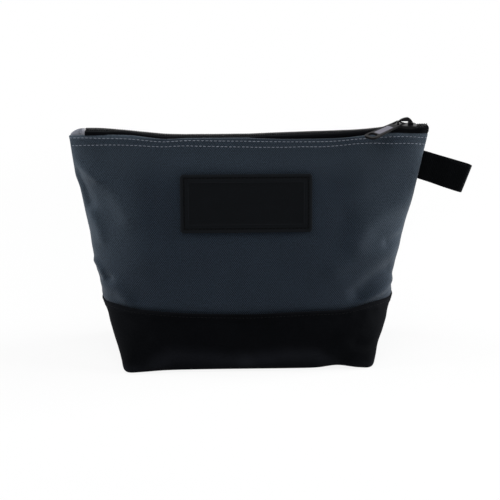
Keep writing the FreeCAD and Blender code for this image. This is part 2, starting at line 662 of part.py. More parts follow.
def hem_stitching():
    """Two rows of topstitching along the front hem."""
    threads = []
    for below in ROWS_BELOW_HEM:
        height = HEM_HEIGHT - below
        cloth = front_outline(height, STITCH_LIFT)
        length = sum(math.dist(a, b) for a, b in zip(cloth, cloth[1:]))
        count = int((length - 2 * ROW_MARGIN) / STITCH_PITCH)
        margin = (length - count * STITCH_PITCH) / 2
        marks = spaced_points(cloth, int(length / STITCH_STEP) + 1)
        for number in range(count + 1):
            index = int((margin + number * STITCH_PITCH) / STITCH_STEP)
            x, y = marks[index]
            next_x, next_y = marks[index + 1]
            along = vec(next_x - x, next_y - y, 0).normalize()
            out = vec(along.y, -along.x, 0)
            threads.append(stitch(vec(x, y, height), along, out))
    return Part.makeCompound(threads)


def loop_axes():
    """Start, direction away from the bag, and direction along the seam of the side loop."""
    low = wall_values(LOOP_CENTRE_Z - LOOP_WIDTH / 2)[0]
    high = wall_values(LOOP_CENTRE_Z + LOOP_WIDTH / 2)[0]
    seam = vec(high - low, 0, LOOP_WIDTH).normalize()
    droop = math.radians(LOOP_DROOP)
    away = vec(math.cos(droop), 0, -math.sin(droop))
    nose = LOOP_CLOTH + LOOP_GAP
    start = vec((low + high) / 2 + nose, 0, LOOP_CENTRE_Z)
    return start, away, seam


def side_loop():
    """Webbing folded into a loop: two plies sewn together at the seam, open towards the fold."""
    start, away, seam = loop_axes()
    across = vec(-away.z, 0, away.x)
    half = LOOP_OPENING / 2 + LOOP_CLOTH
    turn = LOOP_LENGTH - half

    def at(along, side):
        return start + away * along + vec(0, side, 0)

    def teardrop(cloth, root):
        width = LOOP_OPENING / 2 + cloth
        waist = mix(LOOP_NECK, turn, 0.5)
        edges = [Part.Arc(at(turn, -width), at(turn + width, 0), at(turn, width)).toShape()]
        for side in (-1, 1):
            neck_point = at(LOOP_NECK, side * cloth)
            waist_point = at(waist, side * mix(cloth, width, LOOP_WAIST))
            edges.append(straight(neck_point, waist_point))
            edges.append(straight(waist_point, at(turn, side * width)))
            if root:
                edges.append(straight(neck_point, at(-LOOP_WIDTH, side * cloth)))
        if root:
            edges.append(straight(at(-LOOP_WIDTH, -cloth), at(-LOOP_WIDTH, cloth)))
        return Part.Face(Part.Wire(Part.__sortEdges__(edges)))

    reach = across * LOOP_WIDTH
    ribbon = teardrop(LOOP_CLOTH, True).extrude(reach).cut(teardrop(0.0, False).extrude(reach))
    ribbon.translate(reach * -0.5)
    top = start + seam * LOOP_WIDTH
    bottom = start - seam * LOOP_WIDTH
    beyond = vec(2 * LOOP_LENGTH, 0, 0)
    outside = Part.Face(closed_wire([bottom, top, top + beyond, bottom + beyond]))
    outside.translate(vec(0, -half, 0))
    ribbon = ribbon.common(outside.extrude(vec(0, 2 * half, 0)))
    crease = Part.Arc(at(0, LOOP_CLOTH), at(-LOOP_CLOTH, 0), at(0, -LOOP_CLOTH)).toShape()
    nose = Part.Face(Part.Wire([crease, straight(at(0, -LOOP_CLOTH), at(0, LOOP_CLOTH))]))
    slant = seam * (LOOP_WIDTH / seam.dot(across))
    nose = nose.extrude(slant)
    nose.translate(slant * -0.5)
    return ribbon.fuse(nose).removeSplitter()


def all_parts():
    to_back = vec(0, 1, 0)
    to_left = vec(1, 0, 0)
    tape = front_tape()
    stitching = hem_stitching()
    corner = corner_binding()
    return {
        "base_panel": base_panel(),
        "front_panel": upper_panel(SEAM_HEIGHT - BASE_LAP),
        "back_panel": mirrored(upper_panel(SEAM_HEIGHT + FOLD_GAP), to_back),
        "back_margin": mirrored(sewn_margin(), to_back),
        "left_seam_binding": mirrored(side_binding(HEM_HEIGHT, LEFT_BINDING_RISE), to_left),
        "right_seam_binding": side_binding(HEM_HEIGHT - RIGHT_BINDING_DROP, 0.0),
        "left_corner_binding": mirrored(corner, to_left),
        "right_corner_binding": corner,
        "front_tape": tape,
        "back_tape": mirrored(tape, to_back),
        "front_coil": front_coil(0.5),
        "back_coil": mirrored(front_coil(1.0), to_back),
        "slider_body": slider_body(),
        "pull_tab": pull_tab(),
        "front_patch": front_patch(),
        "patch_stitching": patch_stitching(),
        "front_hem_stitching": stitching,
        "back_hem_stitching": mirrored(stitching, to_back),
        "side_loop": side_loop(),
    }


def main():
    os.makedirs("parts", exist_ok=True)
    for name, shape in all_parts().items():
        shape.exportStep(os.path.join("parts", name + ".step"))
        print(name, len(shape.Solids), "solids", round(shape.Volume, 1), "mm3", shape.isValid())


main()
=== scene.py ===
"""Looks of a zippered fabric tool bag: cloth, zipper, patch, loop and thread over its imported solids."""

import logging
import math
from dataclasses import dataclass, field
from enum import Enum

import bpy
import numpy as np
from mathutils import Matrix, Vector, noise


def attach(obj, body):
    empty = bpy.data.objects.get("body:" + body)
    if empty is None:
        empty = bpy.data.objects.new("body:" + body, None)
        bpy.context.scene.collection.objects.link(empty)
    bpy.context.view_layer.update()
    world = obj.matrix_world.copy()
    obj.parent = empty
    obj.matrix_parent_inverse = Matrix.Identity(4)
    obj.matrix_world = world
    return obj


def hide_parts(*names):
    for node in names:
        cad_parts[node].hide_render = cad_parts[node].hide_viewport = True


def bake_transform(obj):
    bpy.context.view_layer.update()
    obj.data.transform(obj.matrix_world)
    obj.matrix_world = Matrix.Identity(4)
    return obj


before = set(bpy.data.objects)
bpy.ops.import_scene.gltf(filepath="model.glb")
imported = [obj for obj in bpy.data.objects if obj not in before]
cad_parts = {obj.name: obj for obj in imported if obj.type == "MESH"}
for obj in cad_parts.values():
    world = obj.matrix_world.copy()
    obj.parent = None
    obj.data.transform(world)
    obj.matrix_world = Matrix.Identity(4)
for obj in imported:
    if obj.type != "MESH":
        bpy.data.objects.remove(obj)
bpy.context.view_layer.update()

MM = 0.001
Array = np.ndarray
Colour = tuple[float, float, float]
Pairs = tuple[tuple[float, float], ...]
Socket = bpy.types.NodeSocket
Material = bpy.types.Material
Piece = bpy.types.Object
CORNERS = ((1, 1), (-1, 1), (-1, -1), (1, -1))
MIRRORED = np.array([1.0, -1.0, 1.0])
WHITE = (1.0, 1.0, 1.0, 1.0)
SOCKETS = {
    "colour": "Base Color", "roughness": "Roughness", "metallic": "Metallic",
    "specular": "Specular IOR Level", "sheen": "Sheen Weight", "sheen_roughness": "Sheen Roughness",
    "sheen_tint": "Sheen Tint", "coat": "Coat Weight", "coat_roughness": "Coat Roughness",
}
log = logging.getLogger("tool_bag")


def smooth_step(value: Array | float) -> Array:
    """Cubic ease of a value that is held between 0 and 1."""
    held = np.clip(value, 0.0, 1.0)
    return held * held * (3.0 - 2.0 * held)


def mix(first: float, last: float, share: float) -> float:
    """Value at a share of the way from the first to the last."""
    return first + (last - first) * share


def shade(*display: int) -> Colour:
    """Display colour, as red, green and blue from 0 to 255, as the linear colour that a shader takes."""
    parts = [value / 255.0 for value in display]
    return tuple(part / 12.92 if part <= 0.04045 else ((part + 0.055) / 1.055) ** 2.4 for part in parts)


def unit(vectors: Array) -> Array:
    """The same vectors at length one."""
    return vectors / np.maximum(np.linalg.norm(vectors, axis=-1, keepdims=True), 1e-9)


def bell(distance: Array, width: float) -> Array:
    """A soft bump: 1 at no distance, and about a third of that at its width."""
    return np.exp(-((distance / width) ** 2))


def travel(points: Array) -> Array:
    """Distance along a polyline at each of its points."""
    steps = np.linalg.norm(np.diff(points, axis=0), axis=1)
    return np.concatenate([[0.0], np.cumsum(steps)])


def at_distances(wanted: Array, travelled: Array, values: Array) -> Array:
    """What the points of a polyline carry, brought to wanted distances along it."""
    return np.stack([np.interp(wanted, travelled, column) for column in values.T], axis=1)


def resample(points: Array, count: int) -> Array:
    """A polyline with a set number of points, evenly spaced along it."""
    travelled = travel(points)
    return at_distances(np.linspace(0.0, travelled[-1], count), travelled, points)


def run_across(grid: Array) -> Array:
    """Distance along each row of a grid at each of its columns."""
    steps = np.linalg.norm(np.diff(grid, axis=1), axis=2)
    return np.concatenate([np.zeros((len(grid), 1)), np.cumsum(steps, axis=1)], axis=1)


def side_by_side(*values: Array) -> Array:
    """Values in a last axis of their own, spread to one shape."""
    return np.stack(np.broadcast_arrays(*values), axis=-1)


def blurred(values: Array, window: int) -> Array:
    """Values averaged over an odd window, with the ends held."""
    return np.convolve(np.pad(values, window // 2, mode="edge"), np.ones(window) / window, "valid")


def soft_line(line: Array, fine: int, window: int, count: int, held: bool = False) -> Array:
    """A polyline with its corners rounded off.

    Args:
        line: The polyline, two values a row.
        fine: How many points it has while it is softened.
        window: How many of them are averaged.
        count: How many points to give back.
        held: Whether its two ends stay where they were.

    Returns:
        The evenly spaced points.
    """
    dense = resample(line, fine)
    soft = np.stack([blurred(column, window) for column in dense.T], axis=1)
    if held:
        soft[0], soft[-1] = line[0], line[-1]
    return resample(soft, count)


def soft_curve(x: Array, pairs: Pairs, fine: int, window: int) -> Array:
    """A table's values at places, with its corners rounded off.

    Args:
        x: The places.
        pairs: The table, as places with the value at each.
        fine: How many points it has while it is softened.
        window: How many of them are averaged.

    Returns:
        The value at each place.
    """
    places, values = zip(*pairs)
    dense = np.linspace(places[0], places[-1], fine)
    return np.interp(x, dense, blurred(np.interp(dense, places, values), window))


def grid_normals(grid: Array, closed: bool = False) -> Array:
    """Outward normals of a grid whose columns run left to right and whose rows run up.

    Args:
        grid: Points as rows by columns by three.
        closed: Whether the last column joins the first.

    Returns:
        A unit normal for each point.
    """
    if closed:
        across = np.roll(grid, -1, axis=1) - np.roll(grid, 1, axis=1)
    else:
        across = np.gradient(grid, axis=1)
    return unit(np.cross(across, np.gradient(grid, axis=0)))


def grid_area(grid: Array) -> float:
    """Area of a grid's face."""
    quads = np.cross(np.diff(grid, axis=0)[:, :-1], np.diff(grid, axis=1)[:-1])
    return float(np.linalg.norm(quads, axis=2).sum())


def rounded_rectangle(
    half_width: float, half_height: float, radius: float, corner_steps: int, side_steps: int = 1,
) -> Array:
    """A rectangle with rounded corners, anticlockwise.

    Args:
        half_width: Half of its width.
        half_height: Half of its height.
        radius: Radius of its corners.
        corner_steps: How many steps a corner has.
        side_steps: How many steps a side has.

    Returns:
        The points, two values a row.
    """
    def on_corner(number: int, angle: float) -> tuple[float, float]:
        """Place on one of the corners.

        Args:
            number: Which corner.
            angle: Direction from the corner's own centre.

        Returns:
            The two values.
        """
        right, up = CORNERS[number % len(CORNERS)]
        x = right * (half_width - radius) + radius * math.cos(angle)
        return x, up * (half_height - radius) + radius * math.sin(angle)

    points = []
    for number in range(len(CORNERS)):
        for step in range(corner_steps + 1):
            points.append(on_corner(number, math.pi / 2.0 * (number + step / corner_steps)))
        last = points[-1]
        following = on_corner(number + 1, math.pi / 2.0 * (number + 1))
        for step in range(1, side_steps):
            share = step / side_steps
            points.append((mix(last[0], following[0], share), mix(last[1], following[1], share)))
    return np.array(points)


def base_rise(x: Array) -> Array:
    """How far the base's top edge stands above its straight seam line at places along the bag."""
    return soft_curve(x, BASE_RISE, 273, 9)


def rumple(points: Array, size: float, seed: float) -> Array:
    """Soft irregular values from -1 to 1 over points.

    Args:
        points: Places in millimetres, three values in the last axis.
        size: Width of the unevenness in millimetres.
        seed: Shifts the pattern.

    Returns:
        One value for each place.
    """
    flat = points.reshape(-1, 3) / size + seed
    values = [noise.noise(Vector(place)) for place in flat.tolist()]
    return np.array(values).reshape(points.shape[:-1])


@dataclass
class MeshDraft:
    """Points, faces, cloth coordinates, worn places and painted highlights of one piece while it is drawn, in
    millimetres.
    """

    points: list[Array] = field(default_factory=list)
    normals: list[Array] = field(default_factory=list)
    cloth: list[Array] = field(default_factory=list)
    worn_and_lit: list[Array] = field(default_factory=list)
    faces: list[tuple[int, ...]] = field(default_factory=list)
    count: int = 0

    def add(self, points: Array, normals: Array, cloth: Array, worn_and_lit: Array | None = None) -> int:
        """Adds points and says where they start.

        Args:
            points: Places, with three values in the last axis.
            normals: Their shading normals.
            cloth: Their flat coordinates on the material.
            worn_and_lit: How worn each place is, with its painted highlight, from 0 to 1.

        Returns:
            Index of the first point added.
        """
        start = self.count
        size = points.reshape(-1, 3).shape[0]
        self.points.append(points.reshape(-1, 3))
        self.normals.append(normals.reshape(-1, 3))
        self.cloth.append(cloth.reshape(-1, 2))
        self.worn_and_lit.append(np.zeros(size) if worn_and_lit is None else worn_and_lit.reshape(-1))
        self.count += size
        return start

    def grid_faces(self, start: int, rows: int, columns: int, closed: bool, flipped: bool) -> None:
        """Adds the quads of a grid of points.

        Args:
            start: Index of the grid's first point.
            rows: Number of rows.
            columns: Number of columns.
            closed: Whether the last column joins the first.
            flipped: Whether the faces look the other way.
        """
        for row in range(rows - 1):
            for column in range(columns if closed else columns - 1):
                following = (column + 1) % columns
                low = start + row * columns
                quad = (low + column, low + following, low + columns + following, low + columns + column)
                self.faces.append(quad[::-1] if flipped else quad)

    def sheet(
        self, grid: Array, normals: Array, cloth: Array, thickness: Array | float,
        worn_and_lit: Array | None = None, closed: bool = False,
    ) -> None:
        """Adds a sheet of cloth with an outer face, an inner face and edges.

        Args:
            grid: Outer face as rows by columns by three.
            normals: Its outward normals.
            cloth: Its flat coordinates.
            thickness: Thickness of the cloth, one value or one for each place.
            worn_and_lit: How worn each place is, with its painted highlight.
            closed: Whether the last column joins the first.
        """
        rows, columns = grid.shape[:2]
        depth = np.asarray(thickness, float)
        depth = depth[..., None] if depth.ndim == 2 else depth
        outer = self.add(grid, normals, cloth, worn_and_lit)
        inner = self.add(grid - normals * depth, -normals, cloth, worn_and_lit)
        self.grid_faces(outer, rows, columns, closed, False)
        self.grid_faces(inner, rows, columns, closed, True)
        last = (rows - 1) * columns
        for column in range(columns if closed else columns - 1):
            after = (column + 1) % columns
            self.faces.append((outer + after, outer + column, inner + column, inner + after))
            here, there = last + column, last + after
            self.faces.append((outer + here, outer + there, inner + there, inner + here))
        if closed:
            return
        for row in range(rows - 1):
            low = row * columns
            high = low + columns
            self.faces.append((outer + low, outer + high, inner + high, inner + low))
            end = columns - 1
            self.faces.append((outer + high + end, outer + low + end, inner + low + end, inner + high + end))

    def cap(self, start: int, count: int, flipped: bool) -> None:
        """Closes a ring of points with one face.

        Args:
            start: Index of the ring's first point.
            count: How many points it has.
            flipped: Whether the face looks the other way.
        """
        ring = tuple(range(start, start + count))
        self.faces.append(ring[::-1] if flipped else ring)

    def tube(self, path: Array, radius: Array | float, sides: int, sideways: Array) -> None:
        """Adds a round strand along a path.

        Args:
            path: Points along the strand's middle.
            radius: Radius, one value or one for each point.
            sides: Number of sides.
            sideways: A direction that is never along the path.
        """
        along = unit(np.gradient(path, axis=0))
        first = unit(np.cross(along, sideways))
        second = np.cross(along, first)
        turn = np.linspace(0.0, 2.0 * math.pi, sides, endpoint=False)
        out = first[:, None] * np.cos(turn)[None, :, None] + second[:, None] * np.sin(turn)[None, :, None]
        size = np.broadcast_to(np.asarray(radius, float), path.shape[:1])
        ring = path[:, None] + out * size[:, None, None]
        cloth = side_by_side(turn[None, :] * size.max(), travel(path)[:, None])
        start = self.add(ring, out, cloth)
        self.grid_faces(start, len(path), sides, True, False)
        self.cap(start, sides, True)
        self.cap(start + (len(path) - 1) * sides, sides, False)

    def piece(self, name: str, material: Material) -> Piece:
        """Makes the piece.

        Args:
            name: Name of the piece.
            material: What it is dressed in.

        Returns:
            The new object, in metres.
        """
        mesh = bpy.data.meshes.new(name)
        points = np.concatenate(self.points) * MM
        mesh.from_pydata(points.tolist(), [], self.faces)
        cloth = np.concatenate(self.cloth) * MM
        corners = np.zeros(len(mesh.loops), np.int32)
        mesh.loops.foreach_get("vertex_index", corners)
        layer = mesh.uv_layers.new(name="cloth")
        layer.data.foreach_set("uv", cloth[corners].astype(np.float32).ravel())
        worn = mesh.attributes.new("worn_and_lit", "FLOAT", "POINT")
        worn.data.foreach_set("value", np.concatenate(self.worn_and_lit).astype(np.float32))
        mesh.polygons.foreach_set("use_smooth", np.ones(len(mesh.polygons), bool))
        mesh.normals_split_custom_set_from_vertices(np.concatenate(self.normals).tolist())
        mesh.materials.append(material)
        mesh.update()
        piece = bpy.data.objects.new(name, mesh)
        bpy.context.scene.collection.objects.link(piece)
        log.info("%s: %d points, %d faces", name, len(points), len(self.faces))
        return piece


class Weave(Enum):
    """How a cloth is woven."""

    OXFORD = "oxford"
    PLAIN = "plain"
    RIBBED = "ribbed"


class Side(Enum):
    """Which wall of the bag a piece is on."""

    FRONT = -1
    BACK = 1


class Hand(Enum):
    """Which end of the bag a piece is at."""

    LEFT = "left"
    RIGHT = "right"


class NodeBoard:
    """A material's nodes while they are joined up."""

    def __init__(self, name: str) -> None:
        """Starts a material with a shader and an output.

        Args:
            name: Name of the material.
        """
        self.material = bpy.data.materials.new(name)
        self.material.use_nodes = True
        self.tree = self.material.node_tree
        self.shader = self.tree.nodes["Principled BSDF"]

    def node(self, kind: str, **settings: object) -> bpy.types.Node:
        """Adds a node.

        Args:
            kind: Blender's name of the node, without its prefix.
            settings: Properties to set on it.

        Returns:
            The node.
        """
        made = self.tree.nodes.new("ShaderNode" + kind)
        for key, value in settings.items():
            setattr(made, key, value)
        return made

    def feed(self, socket: Socket, value: object) -> None:
        """Joins a socket to another node's output, or sets its value.

        Args:
            socket: The socket.
            value: The other node's output, or the value.
        """
        if isinstance(value, bpy.types.NodeSocket):
            self.tree.links.new(value, socket)
        else:
            socket.default_value = value

    def sum(self, kind: str, first: object, second: object, held: bool = False) -> Socket:
        """One step of arithmetic.

        Args:
            kind: Blender's name of the step.
            first: First value or socket.
            second: Second value or socket.
            held: Whether the result is held between 0 and 1.

        Returns:
            The socket with the result.
        """
        made = self.node("Math", operation=kind, use_clamp=held)
        self.feed(made.inputs[0], first)
        self.feed(made.inputs[1], second)
        return made.outputs[0]

    def blend(self, share: object, first: object, second: object) -> Socket:
        """Mixes two colours.

        Args:
            share: How much of the second colour.
            first: First colour or socket.
            second: Second colour or socket.

        Returns:
            The socket with the mixed colour.
        """
        made = self.node("Mix", data_type="RGBA")
        self.feed(made.inputs["Factor"], share)
        self.feed(made.inputs[6], (*first, 1.0) if isinstance(first, tuple) else first)
        self.feed(made.inputs[7], (*second, 1.0) if isinstance(second, tuple) else second)
        return made.outputs[2]

    def in_millimetres(self, place: Socket) -> Socket:
        """A place in metres brought to millimetres.

        Args:
            place: The place.

        Returns:
            The socket with the same place.
        """
        scale = self.node("VectorMath", operation="SCALE")
        self.feed(scale.inputs[0], place)
        self.feed(scale.inputs["Scale"], 1.0 / MM)
        return scale.outputs[0]

    def flat_place(self) -> Socket:
        """Place on the flat material, in millimetres."""
        return self.in_millimetres(self.node("UVMap", uv_map="cloth").outputs[0])

    def body_place(self) -> Socket:
        """Place on a piece that has no flat coordinates, in millimetres."""
        return self.in_millimetres(self.node("TexCoord").outputs["Object"])

    def cloud(self, place: Socket, size: float, detail: float = 3.0) -> Socket:
        """Uneven values over a place.

        Args:
            place: Where, in millimetres.
            size: Width of the unevenness in millimetres.
            detail: How many finer levels it has.

        Returns:
            The socket with the values.
        """
        made = self.node("TexNoise")
        self.feed(made.inputs["Vector"], place)
        self.feed(made.inputs["Scale"], 1.0 / size)
        self.feed(made.inputs["Detail"], detail)
        return made.outputs["Fac"]

    def bands(self, place: Socket, direction: str, pitch: float, stray: float) -> Socket:
        """Even ridges over a place.

        Args:
            place: Where, in millimetres.
            direction: X, Y or DIAGONAL.
            pitch: Ridge to ridge in millimetres.
            stray: How far they wander.

        Returns:
            The socket with the values.
        """
        turns = 10.0 if direction == "DIAGONAL" else 20.0
        made = self.node("TexWave", wave_type="BANDS", bands_direction=direction)
        self.feed(made.inputs["Vector"], place)
        self.feed(made.inputs["Scale"], 2.0 * math.pi / turns / pitch)
        self.feed(made.inputs["Distortion"], stray)
        self.feed(made.inputs["Detail"], 2.0)
        self.feed(made.inputs["Detail Scale"], 0.6)
        return made.outputs["Fac"]

    def relief(self, height: Socket, depth: float, strength: float) -> None:
        """Raises the surface by a height map.

        Args:
            height: The height, from 0 to 1.
            depth: Height of 1 in millimetres.
            strength: How much of it shows.
        """
        made = self.node("Bump")
        self.feed(made.inputs["Strength"], strength)
        self.feed(made.inputs["Distance"], depth * MM)
        self.feed(made.inputs["Height"], height)
        self.feed(self.shader.inputs["Normal"], made.outputs[0])

    def swing(self, value: Socket, amount: float) -> Socket:
        """A value from 0 to 1 as a swing about nought."""
        return self.sum("MULTIPLY", self.sum("SUBTRACT", value, 0.5), amount)

    def weighed(self, first: Socket, first_share: float, second: Socket, second_share: float) -> Socket:
        """Two values added by their shares."""
        part = self.sum("MULTIPLY", first, first_share)
        return self.sum("ADD", part, self.sum("MULTIPLY", second, second_share))

    def dress(self, **values: object) -> None:
        """Sets or joins the shader's sockets, by the short names in SOCKETS."""
        for name, value in values.items():
            self.feed(self.shader.inputs[SOCKETS[name]], value)

    def lifted(self, value: Socket, low: float, high: float) -> Socket:
        """A value from 0 to 1 brought between a low and a high one."""
        return self.sum("ADD", self.sum("MULTIPLY", value, high - low), low)


@dataclass(frozen=True)
class ClothFinish:
    """A woven material: its colours, its weave and how it wears, with its worn colour also used for painted
    highlights.
    """

    name: str
    weave: Weave
    light: Colour
    dark: Colour
    worn: Colour
    pitch: float
    depth: float
    contrast: float = 0.5
    mottling: float = 0.9
    roughness: tuple[float, float] = (0.78, 0.95)
    gloss: float = 0.04
    sheen: float = 0.04
    sheen_tint: Colour = (0.75, 0.8, 0.85)
    sheen_roughness: float = 0.45
    patch_size: float = 38.0
    worn_and_lit_grain: float = 1.6

    def weave_height(self, board: NodeBoard, place: Socket) -> Socket:
        """Height of the threads.

        Args:
            board: Where the nodes go.
            place: Place on the flat cloth.

        Returns:
            The socket with the height.
        """
        if self.weave is Weave.OXFORD:
            warp = board.sum("SUBTRACT", board.bands(place, "X", self.pitch, 0.3), 0.5)
            weft = board.sum("SUBTRACT", board.bands(place, "Y", self.pitch * 1.3, 0.3), 0.5)
            return board.sum("ADD", board.sum("MULTIPLY", board.sum("MULTIPLY", warp, weft), 2.0), 0.5)
        if self.weave is Weave.PLAIN:
            warp = board.bands(place, "X", self.pitch, 0.5)
            weft = board.bands(place, "Y", self.pitch, 0.5)
            return board.sum("MAXIMUM", board.sum("MULTIPLY", warp, 0.9), weft)
        rib = board.bands(place, "Y", self.pitch, 0.15)
        thread = board.bands(place, "X", self.pitch * 0.8, 0.3)
        return board.weighed(rib, 0.75, thread, 0.25)

    def material(self) -> Material:
        """Mixes the finish.

        Returns:
            The finish as a material.
        """
        board = NodeBoard(self.name)
        place = board.flat_place()
        height = self.weave_height(board, place)
        fibre = board.cloud(place, self.pitch * 0.7, 2.0)
        patchy = board.cloud(place, self.patch_size, 4.0)
        tone = board.swing(height, self.contrast)
        tone = board.sum("ADD", tone, board.swing(patchy, self.mottling))
        tone = board.sum("ADD", tone, board.swing(fibre, self.contrast))
        colour = board.blend(board.sum("ADD", tone, 0.5, True), self.dark, self.light)
        # The worn colour is mixed in where the cloth is worn and where a highlight is painted.
        worn = board.node("Attribute", attribute_name="worn_and_lit")
        worn_and_lit_share = board.sum("MULTIPLY", fibre, self.worn_and_lit_grain)
        worn_and_lit_share = board.sum("MULTIPLY", worn.outputs["Fac"], worn_and_lit_share, True)
        board.dress(
            colour=board.blend(worn_and_lit_share, colour, self.worn), roughness=board.lifted(fibre, *self.roughness),
            sheen=self.sheen, sheen_roughness=self.sheen_roughness, sheen_tint=(*self.sheen_tint, 1.0),
            specular=self.gloss,
        )
        board.relief(board.weighed(height, 0.8, fibre, 0.3), self.depth, 0.7)
        return board.material


@dataclass(frozen=True)
class EnamelFinish:
    """Enamel on cast metal, rubbed through in places: black on the slider and pull, while the pull plate's
    pale grey is a painted reflection.
    """

    name: str
    coat: Colour
    bare: Colour
    roughness: tuple[float, float]
    rubbed: float
    metal: float
    gloss: float
    polish: float

    def material(self) -> Material:
        """Mixes the finish.

        Returns:
            The finish as a material.
        """
        board = NodeBoard(self.name)
        place = board.body_place()
        grain = board.cloud(place, 0.5, 4.0)
        rub = board.sum("SUBTRACT", board.cloud(place, 3.2, 5.0), 1.0 - self.rubbed)
        share = board.sum("MULTIPLY", rub, 5.0, True)
        board.dress(
            colour=board.blend(share, self.coat, self.bare), roughness=board.lifted(grain, *self.roughness),
            metallic=self.metal, specular=self.gloss, coat=self.polish, coat_roughness=0.18,
        )
        board.relief(grain, 0.03, 0.35)
        return board.material


@dataclass(frozen=True)
class RubberFinish:
    """Moulded soft rubber with a fine pebbled skin."""

    name: str
    light: Colour
    dark: Colour
    worn: Colour
    pebble: float
    depth: float = 0.12
    roughness: tuple[float, float] = (0.5, 0.68)
    gloss: float = 0.05

    def material(self) -> Material:
        """Mixes the finish.

        Returns:
            The finish as a material.
        """
        board = NodeBoard(self.name)
        place = board.flat_place()
        cells = board.node("TexVoronoi", feature="SMOOTH_F1")
        board.feed(cells.inputs["Vector"], place)
        board.feed(cells.inputs["Scale"], 1.0 / self.pebble)
        cloud = board.cloud(place, 14.0, 4.0)
        colour = board.blend(cloud, self.dark, self.light)
        worn = board.node("Attribute", attribute_name="worn_and_lit")
        board.dress(
            colour=board.blend(worn.outputs["Fac"], colour, self.worn),
            roughness=board.lifted(cloud, *self.roughness), specular=self.gloss,
        )
        board.relief(cells.outputs["Distance"], self.depth, 0.5)
        return board.material


@dataclass(frozen=True)
class StrandFinish:
    """Twisted thread or a drawn filament."""

    name: str
    light: Colour
    dark: Colour
    pitch: float
    depth: float
    roughness: tuple[float, float]
    gloss: float

    def material(self) -> Material:
        """Mixes the finish.

        Returns:
            The finish as a material.
        """
        board = NodeBoard(self.name)
        place = board.flat_place()
        twist = board.bands(place, "DIAGONAL", self.pitch, 0.3)
        cloud = board.cloud(place, 6.0, 3.0)
        tone = board.weighed(twist, 0.6, cloud, 0.4)
        board.dress(
            colour=board.blend(tone, self.dark, self.light), roughness=board.lifted(cloud, *self.roughness),
            specular=self.gloss,
        )
        board.relief(twist, self.depth, 0.6)
        return board.material


# Its worn colour is also the painted highlight on the upper walls' top and curving sides.
PANEL_CLOTH = ClothFinish(
    "blue_grey_oxford", Weave.OXFORD, shade(37, 48, 60), shade(8, 13, 20), shade(84, 96, 107), 1.9, 0.24,
    contrast=1.9, mottling=0.4, gloss=0.1, sheen=0.2,
)
# Its worn colour is also the painted highlight on the base's lower ridges.
BASE_CLOTH = ClothFinish(
    "black_canvas", Weave.PLAIN, shade(10, 11, 14), shade(3, 4, 5), shade(38, 40, 46), 1.1, 0.16,
    contrast=0.4, gloss=0.02, sheen=0.02,
)
# Its worn colour is also the painted highlight along the binding's folded edge.
BINDING_CLOTH = ClothFinish(
    "light_grey_binding", Weave.RIBBED, shade(178, 181, 192), shade(128, 132, 144), shade(206, 208, 218),
    1.2, 0.2, contrast=0.4, mottling=0.5, gloss=0.1,
)
TAPE_CLOTH = ClothFinish(
    "zipper_tape", Weave.PLAIN, shade(9, 10, 13), shade(3, 4, 5), shade(22, 23, 28), 0.9, 0.14,
    gloss=0.02, sheen=0.02,
)
WEBBING = ClothFinish(
    "ribbed_webbing", Weave.RIBBED, shade(9, 10, 12), shade(2, 3, 4), shade(26, 27, 30), 1.5, 0.3,
    contrast=0.6, gloss=0.02,
)
SLIDER_ENAMEL = EnamelFinish(
    "slider_enamel", coat=shade(7, 7, 9), bare=shade(60, 61, 66), roughness=(0.3, 0.45),
    rubbed=0.2, metal=0.2, gloss=0.12, polish=0.04,
)
PULL_ENAMEL = EnamelFinish(
    "pull_enamel", coat=shade(5, 5, 7), bare=shade(90, 91, 98), roughness=(0.3, 0.42),
    rubbed=0.22, metal=0.1, gloss=0.06, polish=0.03,
)
# Painted reflection: the plate's pale grey stands for the bright surroundings mirrored in its bare metal.
PLATE_PAINTED_REFLECTION = EnamelFinish(
    "plate_painted_reflection", coat=shade(104, 103, 114), bare=shade(138, 137, 148), roughness=(0.4, 0.55),
    rubbed=0.3, metal=0.3, gloss=0.3, polish=0.05,
)
PATCH_RUBBER = RubberFinish(
    "moulded_rubber", shade(9, 11, 14), shade(4, 6, 8), shade(20, 23, 27), pebble=0.55,
)
HEM_THREAD = StrandFinish(
    "light_grey_thread", shade(150, 156, 168), shade(96, 101, 113),
    pitch=0.35, depth=0.06, roughness=(0.6, 0.8), gloss=0.1,
)
DARK_THREAD = StrandFinish(
    "black_thread", shade(17, 18, 20), shade(5, 6, 7),
    pitch=0.35, depth=0.06, roughness=(0.5, 0.7), gloss=0.06,
)
COIL_NYLON = StrandFinish(
    "coil_filament", shade(11, 11, 14), shade(4, 5, 6),
    pitch=0.8, depth=0.01, roughness=(0.26, 0.4), gloss=0.18,
)


